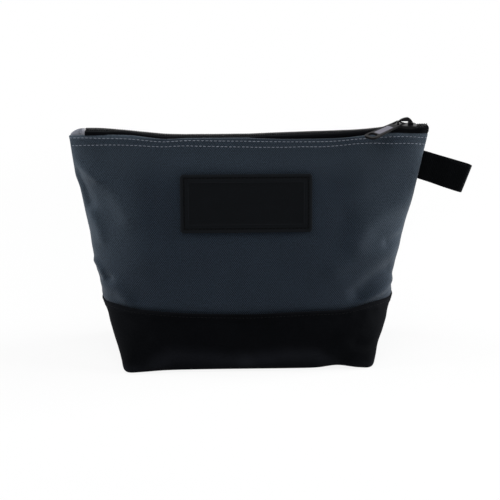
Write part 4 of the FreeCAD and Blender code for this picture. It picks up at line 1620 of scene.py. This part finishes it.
@dataclass
class FrontPatch:
    """Moulded patch sewn to the front: rounded corners, a raised rim, a sewing groove and a plain field."""

    form: BagForm
    width: float = 114.8
    height: float = 51.0
    thickness: float = 2.4
    centre_x: float = -2.6
    centre_z: float = 147.4
    corner: float = 3.0
    rim: float = 2.6
    groove_width: float = 1.4
    groove_depth: float = 0.6
    gap: float = 0.1
    round: float = 0.55
    least_corner: float = 0.25
    field_inset: float = 7.2
    field_bead: float = 0.22
    field_drop: float = 0.3
    land_drop: float = 0.1
    side_steps: int = 26
    corner_steps: int = 7

    def axes(self) -> tuple[Array, Array, Array, Array]:
        """Where the patch lies on the wall.

        Returns:
            Place of its middle, and its directions right, up and out.
        """
        low = self.form.depth(self.centre_x, self.centre_z - self.height / 2.0)
        high = self.form.depth(self.centre_x, self.centre_z + self.height / 2.0)
        right = np.array([1.0, 0.0, 0.0])
        up = unit(np.array([0.0, low - high, self.height]))
        origin = np.array([self.centre_x, -self.form.depth(self.centre_x, self.centre_z), self.centre_z])
        return origin, right, up, np.cross(right, up)

    def sag(self) -> float:
        """How far the wall falls back at the patch's side edges."""
        middle = self.form.depth(self.centre_x, self.centre_z)
        return middle - self.form.depth(self.centre_x + self.width / 2.0, self.centre_z)

    def place(self, plan: Array, rise: Array) -> Array:
        """Places on the bag from places on the flat patch.

        Args:
            plan: Places right and up from the patch's middle.
            rise: Heights above its back.

        Returns:
            The places.
        """
        origin, right, up, out = self.axes()
        fall = self.sag() * (plan[..., 0] / (self.width / 2.0)) ** 2
        height = (rise - fall)[..., None]
        return origin + plan[..., :1] * right + plan[..., 1:2] * up + height * out

    def outline(self, inset: float) -> Array:
        """Rounded rectangle drawn in from the patch's edge, anticlockwise.

        Args:
            inset: How far it is drawn in.

        Returns:
            The points, the same number for each inset.
        """
        half = self.width / 2.0 - inset, self.height / 2.0 - inset
        radius = max(self.corner - inset, self.least_corner)
        return rounded_rectangle(*half, radius, self.corner_steps, self.side_steps)

    def rings(self) -> list[tuple[float, float, float]]:
        """Rings of the moulded face, from the back edge over the rim and the groove to the field.

        Returns:
            How far each is drawn in, its height and its wear.
        """
        top = self.thickness
        low = top - self.groove_depth
        land = top - self.land_drop
        bead = top + self.field_bead - self.land_drop
        near, far, inner = self.rim, self.rim + self.groove_width, self.field_inset
        rings = [(0.0, self.gap, 0.0), (0.0, top - self.round, 0.3)]
        for turn in (math.pi / 4.0, math.pi / 2.0):
            inset = self.round * (1.0 - math.cos(turn))
            rings.append((inset, top - self.round * (1.0 - math.sin(turn)), 0.55))
        rings += [(near - 0.25, top, 0.25), (near, top - 0.12, 0.1), (near + 0.12, low, 0.0)]
        rings += [(far - 0.12, low, 0.0), (far, top - 0.2, 0.1), (far + 0.25, land, 0.2)]
        rings += [(inner - 0.7, land, 0.05), (inner - 0.35, bead, 0.3), (inner, bead, 0.3)]
        rings += [(inset, top - self.field_drop, 0.0) for inset in (inner + 0.45, 12.0, 18.0, 25.2)]
        return rings

    def build(self, rubber: Material, thread: Material) -> list[Piece]:
        """Makes the patch and its stitching.

        Args:
            rubber: Finish of the patch.
            thread: Finish of the stitching.

        Returns:
            The two pieces.
        """
        insets, rises, worn = (np.array(column) for column in zip(*self.rings()))
        plans = np.array([self.outline(inset) for inset in insets])
        rows, columns = plans.shape[:2]
        grid = self.place(plans, rises[:, None])
        normals = grid_normals(grid, True)
        out = self.axes()[3]
        flat = np.abs(np.gradient(rises)) < 0.02
        normals[flat] = unit(normals[flat] * 0.2 + out)
        draft = MeshDraft()
        start = draft.add(grid, normals, plans, np.repeat(worn, columns))
        draft.grid_faces(start, rows, columns, True, False)
        draft.cap(start + (rows - 1) * columns, columns, False)
        draft.cap(start, columns, True)
        patch = draft.piece("rubber_patch", rubber)
        run = ThreadRun(pitch=3.4, length=2.5, radius=0.25, margin=0.5, lift=0.12)
        line = self.outline(self.rim + self.groove_width / 2.0)
        line = np.concatenate([line, line[:1]])
        places = self.place(line, np.full(len(line), self.thickness - self.groove_depth))
        run.sew(places, np.broadcast_to(out, places.shape))
        return [patch, run.piece("patch_thread", thread)]


@dataclass
class SideLoop:
    """Folded webbing loop in the right side seam."""

    form: BagForm
    width: float = 25.4
    length: float = 43.4
    cloth: float = 1.2
    opening: float = 6.0
    centre_z: float = 175.1
    droop: float = 18.0
    seam_gap: float = 0.4
    neck: float = 11.0
    waist: float = 0.68
    root: float = 3.4
    root_ply: float = 0.42
    bend: float = 8.0
    ply_gap: float = 0.02
    ripple: float = 0.25
    ripple_step: float = 6.0
    thin_edge: Ramp = Ramp(0.86, 0.14)
    thinning: float = 0.35
    worn_edge: Ramp = Ramp(0.9, 0.1)
    edge_wear: float = 0.35
    across: int = 15
    stations: int = 131
    front_station: int = 24

    def axes(self) -> tuple[Array, Array, Array, float]:
        """Where the loop leaves the seam.

        Returns:
            Its start, its directions away from the bag and across, and the slant of the seam.
        """
        low = self.form.wall(self.centre_z - self.width / 2.0)[0]
        high = self.form.wall(self.centre_z + self.width / 2.0)[0]
        seam = unit(np.array([high - low, 0.0, self.width]))
        tilt = math.radians(self.droop)
        start = np.array([(low + high) / 2.0 + self.cloth + self.seam_gap, 0.0, self.centre_z])
        away = np.array([math.cos(tilt), 0.0, -math.sin(tilt)])
        across = np.array([math.sin(tilt), 0.0, math.cos(tilt)])
        return start, away, across, float(np.dot(seam, away) / np.dot(seam, across))

    def fold_line(self) -> Array:
        """Outer face of the webbing, out along the front ply, round the fold and back.

        Returns:
            The points as distance from the seam and distance towards the front.
        """
        half = self.opening / 2.0 + self.cloth
        turn = self.length - half
        ply = self.cloth + self.ply_gap
        waist = mix(self.neck, turn, 0.5)
        flank = [(-self.root, self.root_ply), (-1.0, 0.62), (3.5, ply), (self.neck, ply + 0.1)]
        flank += [(waist, mix(ply, half, self.waist)), (turn - 3.0, half - 0.15)]
        angles = np.linspace(0.15, math.pi - 0.15, 13)
        bend = [(turn + half * math.sin(angle), half * math.cos(angle)) for angle in angles]
        line = flank + bend + [(along, -side) for along, side in reversed(flank)]
        return soft_line(np.array(line), 241, 9, self.stations)

    def build(self, webbing: Material) -> Piece:
        """Makes the loop.

        Args:
            webbing: Finish of the loop.

        Returns:
            The piece.
        """
        start, away, across, slant = self.axes()
        line = self.fold_line()
        share = np.linspace(-0.5, 0.5, self.across)
        sheared = slant * (1.0 - smooth_step(line[:, :1] / self.neck)) * share[None, :] * self.width
        along = line[:, :1] + sheared
        grid = start + along[..., None] * away - line[:, None, 1:2] * np.array([0.0, 1.0, 0.0])
        grid = grid + share[None, :, None] * self.width * across
        grid[..., 1] += self.ripple * np.sin(line[:, :1] / self.ripple_step) * (share[None, :] * 2.0) ** 2
        normals = grid_normals(grid)
        if normals[self.front_station, self.across // 2, 1] >= 0.0:
            normals = -normals
        cloth = side_by_side(share[None, :] * self.width, travel(line)[:, None])
        edge = np.abs(share) * 2.0
        room = np.where(line[:, :1] > self.neck, self.cloth, np.abs(line[:, 1:2]) - self.ply_gap)
        thickness = np.minimum(self.cloth, room) * (1.0 - self.thinning * self.thin_edge.at(edge))[None, :]
        worn_and_lit = np.broadcast_to(self.edge_wear * self.worn_edge.at(edge), grid.shape[:2])
        draft = MeshDraft()
        draft.sheet(*(layer[:, ::-1] for layer in (grid, normals, cloth, thickness, worn_and_lit)))
        piece = draft.piece("webbing_loop", webbing)
        ends = (start - away) * MM, (start + away * self.bend) * MM
        tuple(ends[0])
        tuple(ends[1])
        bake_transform(piece)
        return piece

    def flat_size(self) -> tuple[float, float]:
        """Width and length of the webbing before it was folded, in metres."""
        line = self.fold_line()
        return self.width * MM, float(np.linalg.norm(np.diff(line, axis=0), axis=1).sum()) * MM


@dataclass
class PullPlate:
    """Bare metal plate set into the upper recess of the slider's pull; its pale satin grey is a painted
    reflection.
    """

    pivot: tuple[float, float, float] = (133.5088, 0.0, 213.3965)
    swing: float = 42.0
    dip: float = 7.5
    roll: float = 4.0
    shift: float = 0.65
    thickness: float = 1.8
    recess: float = 0.35
    start: float = 14.0
    length: float = 19.2
    half_width: float = 3.4
    corner: float = 1.2
    least_corner: float = 0.3
    corner_steps: int = 6
    gap: float = 0.12
    height: float = 0.2
    edge: float = 0.12
    seat: float = 0.01

    def axes(self) -> tuple[Array, Array, Array]:
        """How the pull lies at rest.

        Returns:
            Directions along it, across it and out of its face.
        """
        swing, dip, roll = (math.radians(angle) for angle in (self.swing, self.dip, self.roll))
        along = np.array([-math.cos(swing) * math.cos(dip), -math.sin(swing) * math.cos(dip), -math.sin(dip)])
        level = np.array([math.sin(swing), -math.cos(swing), 0.0])
        across = level * math.cos(roll) - np.cross(along, level) * math.sin(roll)
        return along, across, np.cross(along, across)

    def outline(self, inset: float) -> Array:
        """Rounded outline of the plate, drawn in from the recess, anticlockwise."""
        size = self.length / 2.0 - inset, self.half_width - inset, max(self.corner - inset, self.least_corner)
        return rounded_rectangle(*size, self.corner_steps)

    def build(self, finish: Material) -> Piece:
        """Makes the plate.

        Args:
            finish: Its finish.

        Returns:
            The piece.
        """
        along, across, out = self.axes()
        middle = np.array(self.pivot) - across * self.shift + along * (self.start + self.length / 2.0)
        floor = self.thickness / 2.0 - self.recess
        rings = ((self.gap, 0.0), (self.gap, self.height - self.edge), (self.gap + self.edge, self.height))
        flat = np.array([self.outline(inset) for inset, _ in rings])
        heights = np.array([floor + self.seat + rise for _, rise in rings])[:, None, None]
        grid = middle + flat[..., :1] * along + flat[..., 1:] * across + heights * out
        normals = grid_normals(grid, True)
        normals[-1] = unit(normals[-1] * 0.3 + out)
        draft = MeshDraft()
        start = draft.add(grid, normals, flat)
        count = grid.shape[1]
        draft.grid_faces(start, len(rings), count, True, False)
        top = draft.add(grid[-1], np.broadcast_to(out, grid[-1].shape), flat[-1])
        draft.cap(top, count, False)
        draft.cap(start, count, True)
        return draft.piece("pull_plate", finish)


@dataclass
class SeamBinding:
    """Woven binding on a side seam's allowance inside the bag, whose end shows above the left hem."""

    form: BagForm
    wander: SeamWander
    width: float = 12.6
    thickness: float = 0.9
    gap: float = 1.5
    tip_inset: float = 0.2
    bottom: float = 43.0
    far: float = 1.15
    tuck: float = 1.8
    tuck_top: float = 11.0
    tuck_run: float = 10.0
    corner_power: float = 2.6
    crease: Bulge = Bulge(0.66, 0.045, 0.6)
    crease_start: Ramp = Ramp(190.0, 12.0)
    crease_top: float = 209.0
    crease_fade: float = 3.0
    ripple: float = 0.04
    ripple_step: float = 5.0
    # Painted highlight along the binding's inner folded edge.
    fold_highlight: Ramp = Ramp(0.8, 0.04)
    fold_highlight_paint: float = 0.9
    columns: int = 41
    rows: int = 90

    def strip(self, name: str, hand: Hand, top: float, rounded: float, material: Material) -> Piece:
        """Makes one binding.

        Args:
            name: Name of the piece.
            hand: Which seam it is on.
            top: Height of its end.
            rounded: How far its outer corner falls away at that end.
            material: Its finish.

        Returns:
            The piece.
        """
        share = np.linspace(0.0, 1.0, self.columns)
        climb = np.linspace(0.0, 1.0, self.rows)
        ends = top - rounded * (1.0 - share) ** self.corner_power
        z = self.bottom + climb[:, None] * (ends[None, :] - self.bottom)
        height = np.clip(z, None, self.form.hem_height)
        tall = self.form.hem_height - self.form.seam_height
        level = np.clip((height - self.form.seam_height) / tall, -0.1, 1.0)
        span = mix(self.form.seam_width, self.form.top_width, level) / 2.0
        ease = smooth_step((z - self.form.seam_height) / tall)
        tucked = self.tuck * smooth_step((self.form.seam_height + self.tuck_top - z) / self.tuck_run)
        x = span - self.gap - tucked - self.tip_inset * ease - share[None, :] * self.width
        crease = self.crease.rise(share)[None, :] * self.crease_start.at(z)
        crease = crease * smooth_step((self.crease_top - z) / self.crease_fade)
        y = -self.far + crease + self.ripple * np.sin(z / self.ripple_step)
        if hand is Hand.RIGHT:
            grid, across = np.stack([x, y, z], axis=-1)[:, ::-1], share[::-1]
        else:
            grid, across = np.stack([-x, y, z], axis=-1), share
        self.wander.apply(grid, self.form)
        normals = grid_normals(grid)
        cloth = side_by_side(across[None, :] * self.width, z - self.bottom)
        # Painted highlight: the inner folded edge is painted pale.
        worn_and_lit = np.broadcast_to(self.fold_highlight_paint * self.fold_highlight.at(across), z.shape)
        draft = MeshDraft()
        draft.sheet(grid, normals, cloth, self.thickness, worn_and_lit)
        return draft.piece(name, material)


@dataclass
class CornerBinding:
    """Woven binding on a boxed corner's allowance, standing on the floor inside the base."""

    length: float = 68.0
    width: float = 10.0
    thickness: float = 0.9
    place: float = 101.0
    floor: float = 1.3
    corner: float = 4.5
    ripple: float = 0.05
    ripple_step: float = 5.0
    columns: int = 61
    rows: int = 12

    def strip(self, name: str, hand: Hand, material: Material) -> Piece:
        """Makes one binding.

        Args:
            name: Name of the piece.
            hand: Which end it is at.
            material: Its finish.

        Returns:
            The piece.
        """
        run = np.linspace(-0.5, 0.5, self.columns) * self.length
        climb = np.linspace(0.0, 1.0, self.rows)
        from_end = np.clip(self.length / 2.0 - np.abs(run), 0.0, self.corner)
        arc = np.maximum(self.corner ** 2 - (self.corner - from_end) ** 2, 0.0)
        top = self.width - self.corner + np.sqrt(arc)
        z = self.floor + climb[:, None] * top[None, :]
        lean = self.ripple * np.sin(run / self.ripple_step)[None, :] * climb[:, None]
        edge = self.place + self.thickness + lean
        if hand is Hand.RIGHT:
            grid = side_by_side(edge, run[None, :], z)
        else:
            grid = side_by_side(-edge, run[None, :], z)[:, ::-1]
        draft = MeshDraft()
        draft.sheet(grid, grid_normals(grid), side_by_side(run[None, :], z), self.thickness)
        return draft.piece(name, material)


@dataclass
class BackFlex:
    """The back wall's cloth near its side seams, whose halves have their placement baked into their points.
    """

    form: BagForm
    run: float = 72.0
    closed_length: float = 40.0

    def dress(self, piece: Piece, hand: Hand) -> None:
        """Works out where one half of a back piece meets its side seam, and bakes the half's placement into
        its points.

        Args:
            piece: The half.
            hand: Which half it is.
        """
        lean = (self.form.top_width - self.form.seam_width) / 2.0
        seam = unit(np.array([lean, 0.0, self.form.hem_height - self.form.seam_height]))
        outward = 1.0 if hand is Hand.RIGHT else -1.0
        inward = np.array([-outward * seam[2], 0.0, seam[0]])
        start = np.array([outward * self.form.top_width / 2.0, 0.0, self.form.hem_height])
        if hand is Hand.LEFT:
            start = start + inward * self.closed_length
        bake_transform(piece)


@dataclass
class Studio:
    """White floor, soft lights and the camera that sees the bag as it was pictured."""

    distance: float = 1100.0
    elevation: float = 20.4
    yaw: float = 2.46
    roll: float = 0.23
    target: tuple[float, float, float] = (1.7, 0.0, 96.5)
    lens: float = 88.0
    sensor: float = 36.0
    floor_size: float = 14.0
    floor_drop: float = 0.0004
    floor_dark: Colour = (0.7, 0.7, 0.705)
    floor_light: Colour = (0.74, 0.74, 0.74)
    floor_glow: float = 0.88
    shadow_reach: float = 260.0
    shadow_fade: float = 500.0
    ambient: float = 0.1
    lamp_aim: tuple[float, float, float] = (0.0, 0.0, 0.1)

    def camera(self) -> None:
        """Makes the camera and gives the scene to it."""
        tilt, turn, roll = (math.radians(angle) for angle in (self.elevation, self.yaw, self.roll))
        ahead = Vector((math.sin(turn) * math.cos(tilt), math.cos(turn) * math.cos(tilt), -math.sin(tilt)))
        level = Vector((math.cos(turn), -math.sin(turn), 0.0))
        upright = level.cross(ahead)
        right = level * math.cos(roll) + upright * math.sin(roll)
        up = upright * math.cos(roll) - level * math.sin(roll)
        data = bpy.data.cameras.new("camera")
        data.lens = self.lens
        data.sensor_width = self.sensor
        camera = bpy.data.objects.new("camera", data)
        place = (Vector(self.target) - ahead * self.distance) * MM
        camera.matrix_world = Matrix.Translation(place) @ Matrix((right, up, -ahead)).transposed().to_4x4()
        bpy.context.scene.collection.objects.link(camera)
        bpy.context.scene.camera = camera

    def lamp(self, name: str, place: tuple[float, float, float], size: float, power: float) -> None:
        """Adds a soft square lamp that faces the bag.

        Args:
            name: Name of the lamp.
            place: Where it hangs, in metres.
            size: Side of the square.
            power: Its power in watts.
        """
        data = bpy.data.lights.new(name, "AREA")
        data.size = size
        data.energy = power
        lamp = bpy.data.objects.new(name, data)
        lamp.location = place
        lamp.rotation_mode = "QUATERNION"
        lamp.rotation_quaternion = (Vector(self.lamp_aim) - Vector(place)).to_track_quat("-Z", "Y")
        bpy.context.scene.collection.objects.link(lamp)

    def seen(self, tree: bpy.types.NodeTree) -> Socket:
        """Share of rays that look at the background, in a mirror or through glass too.

        Args:
            tree: Where the nodes go.

        Returns:
            The socket with the share.
        """
        path = tree.nodes.new("ShaderNodeLightPath")
        total = path.outputs["Is Camera Ray"]
        for name in ("Is Glossy Ray", "Is Transmission Ray"):
            step = tree.nodes.new("ShaderNodeMath")
            step.operation = "MAXIMUM"
            tree.links.new(total, step.inputs[0])
            tree.links.new(path.outputs[name], step.inputs[1])
            total = step.outputs[0]
        return total

    def floor(self) -> None:
        """Lays a pale floor that keeps the bag's soft shadow."""
        half = self.floor_size / 2.0
        mesh = bpy.data.meshes.new("floor")
        corners = [(-half, -half, 0.0), (half, -half, 0.0), (half, half, 0.0), (-half, half, 0.0)]
        mesh.from_pydata(corners, [], [(0, 1, 2, 3)])
        floor = bpy.data.objects.new("floor", mesh)
        floor.location.z = -self.floor_drop
        bpy.context.scene.collection.objects.link(floor)
        board = NodeBoard("pale_floor")
        spot = board.body_place()
        grain = board.cloud(spot, 60.0, 3.0)
        board.dress(colour=board.blend(grain, self.floor_dark, self.floor_light), roughness=0.9)
        glow = board.node("Emission")
        board.feed(glow.inputs["Color"], WHITE)
        reach = board.node("VectorMath", operation="LENGTH")
        board.feed(reach.inputs[0], spot)
        away = board.sum("SUBTRACT", reach.outputs["Value"], self.shadow_reach)
        away = board.sum("DIVIDE", away, self.shadow_fade, True)
        white = board.lifted(away, self.floor_glow, 1.0)
        both = board.node("MixShader")
        board.feed(both.inputs[0], board.sum("MULTIPLY", self.seen(board.tree), white))
        board.feed(both.inputs[1], board.shader.outputs[0])
        board.feed(both.inputs[2], glow.outputs[0])
        board.feed(board.tree.nodes["Material Output"].inputs["Surface"], both.outputs[0])
        mesh.materials.append(board.material)

    def world(self) -> None:
        """White surroundings for the camera and a plain level of soft light for the bag."""
        world = bpy.data.worlds.new("surroundings")
        world.use_nodes = True
        tree = world.node_tree
        plain = tree.nodes["Background"]
        plain.inputs["Color"].default_value = WHITE
        plain.inputs["Strength"].default_value = self.ambient
        white = tree.nodes.new("ShaderNodeBackground")
        white.inputs["Color"].default_value = WHITE
        both = tree.nodes.new("ShaderNodeMixShader")
        tree.links.new(self.seen(tree), both.inputs[0])
        tree.links.new(plain.outputs[0], both.inputs[1])
        tree.links.new(white.outputs[0], both.inputs[2])
        tree.links.new(both.outputs[0], tree.nodes["World Output"].inputs["Surface"])
        bpy.context.scene.world = world

    def build(self) -> None:
        """Sets the whole studio up."""
        self.camera()
        self.floor()
        self.world()
        self.lamp("key_light", place=(-0.06, -0.26, 0.68), size=0.45, power=1.9)
        self.lamp("left_light", place=(-1.5, 0.12, 0.55), size=0.8, power=32.0)
        self.lamp("right_light", place=(1.5, 0.12, 0.55), size=0.8, power=48.0)
        bpy.context.scene.view_settings.view_transform = "Standard"


@dataclass
class ToolBag:
    """The dressed bag: every soft piece in place of its plain solid, and finishes on the metal ones."""

    form: BagForm = field(default_factory=BagForm)
    wander: SeamWander = field(default_factory=SeamWander)

    def settle(self, piece: Piece, slot: str, body: str | None, *nodes: str) -> Piece:
        """Gives a piece its body and hides the solids it stands for.

        Args:
            piece: The piece.
            slot: The record's material slot, which is not used.
            body: Body it moves with, or nothing.
            nodes: Solids that it replaces.

        Returns:
            The piece.
        """
        if body:
            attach(piece, body)
        if nodes:
            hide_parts(*nodes)
        return piece

    def walls(self) -> None:
        """Front, back and base cloth with their stitching."""
        flex = BackFlex(self.form)
        cloth = PANEL_CLOTH.material()
        thread = HEM_THREAD.material()
        front = UpperPanel(self.form, self.wander, Side.FRONT, FRONT_FOLDS, HEM_DIP)
        piece = front.sheet("front_cloth", slice(None), cloth)
        self.settle(piece, "panel_cloth", "bag", "front_panel")
        size, area = front.flat_size()
        run = ThreadRun()
        for pairs in HEM_ROWS:
            run.sew(*front.row_below(pairs))
        self.settle(run.piece("front_hem_thread", thread), "hem_thread", "bag", "front_hem_stitching")
        back = UpperPanel(self.form, self.wander, Side.BACK, BACK_FOLDS, MOUTH_DIP)
        half = back.columns // 2
        for hand, columns in ((Hand.LEFT, slice(0, half + 1)), (Hand.RIGHT, slice(half, None))):
            piece = back.sheet("back_cloth_" + hand.value, columns, cloth)
            flex.dress(piece, hand)
            self.settle(piece, "panel_cloth", None, "back_panel", "back_margin")
            size, area = back.flat_size(0.5)
            run = ThreadRun()
            for pairs in HEM_ROWS:
                points, normals = back.row_below(pairs)
                run.sew(points[columns], normals[columns])
            rows = run.piece("back_hem_thread_" + hand.value, thread)
            flex.dress(rows, hand)
            self.settle(rows, "hem_thread", None, "back_hem_stitching")
        base = BasePanel(self.form, self.wander)
        piece = self.settle(base.sheet(BASE_CLOTH.material()), "base_cloth", "bag", "base_panel")
        size, area = base.flat_size()
        self.settle(base.stitching(DARK_THREAD.material()), "dark_thread", "bag")

    def zipper(self) -> None:
        """Tapes, coils, slider and pull."""
        flex = BackFlex(self.form)
        zipper = Zipper(self.form)
        tape = TAPE_CLOTH.material()
        coil = COIL_NYLON.material()
        width = float(np.ptp(zipper.tape_grid(Side.FRONT)[1][zipper.stations // 2, :, 1])) * MM
        piece = zipper.tape_piece("front_zip_tape", Side.FRONT, slice(None), tape)
        self.settle(piece, "zip_tape", "bag", "front_tape")
        piece = zipper.coil_piece("front_zip_coil", Side.FRONT, zipper.left, zipper.right, coil)
        self.settle(piece, "zip_coil", "bag", "front_coil")
        half = zipper.stations // 2
        middle = (zipper.left + zipper.right) / 2.0
        left, right = (zipper.left, middle), (middle, zipper.right)
        halves = ((Hand.LEFT, slice(0, half + 1), left), (Hand.RIGHT, slice(half, None), right))
        for hand, rows, ends in halves:
            piece = zipper.tape_piece("back_zip_tape_" + hand.value, Side.BACK, rows, tape)
            flex.dress(piece, hand)
            self.settle(piece, "zip_tape", None, "back_tape")
            piece = zipper.coil_piece("back_zip_coil_" + hand.value, Side.BACK, *ends, coil)
            flex.dress(piece, hand)
            self.settle(piece, "zip_coil", None, "back_coil")
        for node, finish in (("slider_body", SLIDER_ENAMEL), ("pull_tab", PULL_ENAMEL)):
            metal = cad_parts[node]
            metal.data.materials.clear()
            metal.data.materials.append(finish.material())
            log.info("%s: %s", node, finish.name)
        self.settle(PullPlate().build(PLATE_PAINTED_REFLECTION.material()), "pull_metal", "pull")

    def trim(self) -> None:
        """Patch, side loop and bindings."""
        dark = DARK_THREAD.material()
        patch, sewing = FrontPatch(self.form).build(PATCH_RUBBER.material(), dark)
        self.settle(patch, "patch_rubber", "bag", "front_patch")
        self.settle(sewing, "dark_thread", "bag", "patch_stitching")
        loop = SideLoop(self.form)
        webbing = self.settle(loop.build(WEBBING.material()), "loop_webbing", None, "side_loop")
        loop.flat_size()
        tape = BINDING_CLOTH.material()
        binding = SeamBinding(self.form, self.wander)
        for hand, top, rounded in ((Hand.LEFT, 210.4, 4.8), (Hand.RIGHT, 190.0, 0.0)):
            name = hand.value + "_seam_binding"
            piece = binding.strip(name + "_tape", hand, top, rounded, tape)
            self.settle(piece, "binding_tape", "bag", name)
        corner = CornerBinding()
        for hand in Hand:
            name = hand.value + "_corner_binding"
            piece = corner.strip(name + "_tape", hand, tape)
            self.settle(piece, "binding_tape", "bag", name)


def main() -> None:
    """Builds the studio and the bag."""
    logging.basicConfig(level=logging.INFO, format="%(message)s")
    Studio().build()
    bag = ToolBag()
    bag.walls()
    bag.zipper()
    bag.trim()


if __name__ == "__main__":
    main()
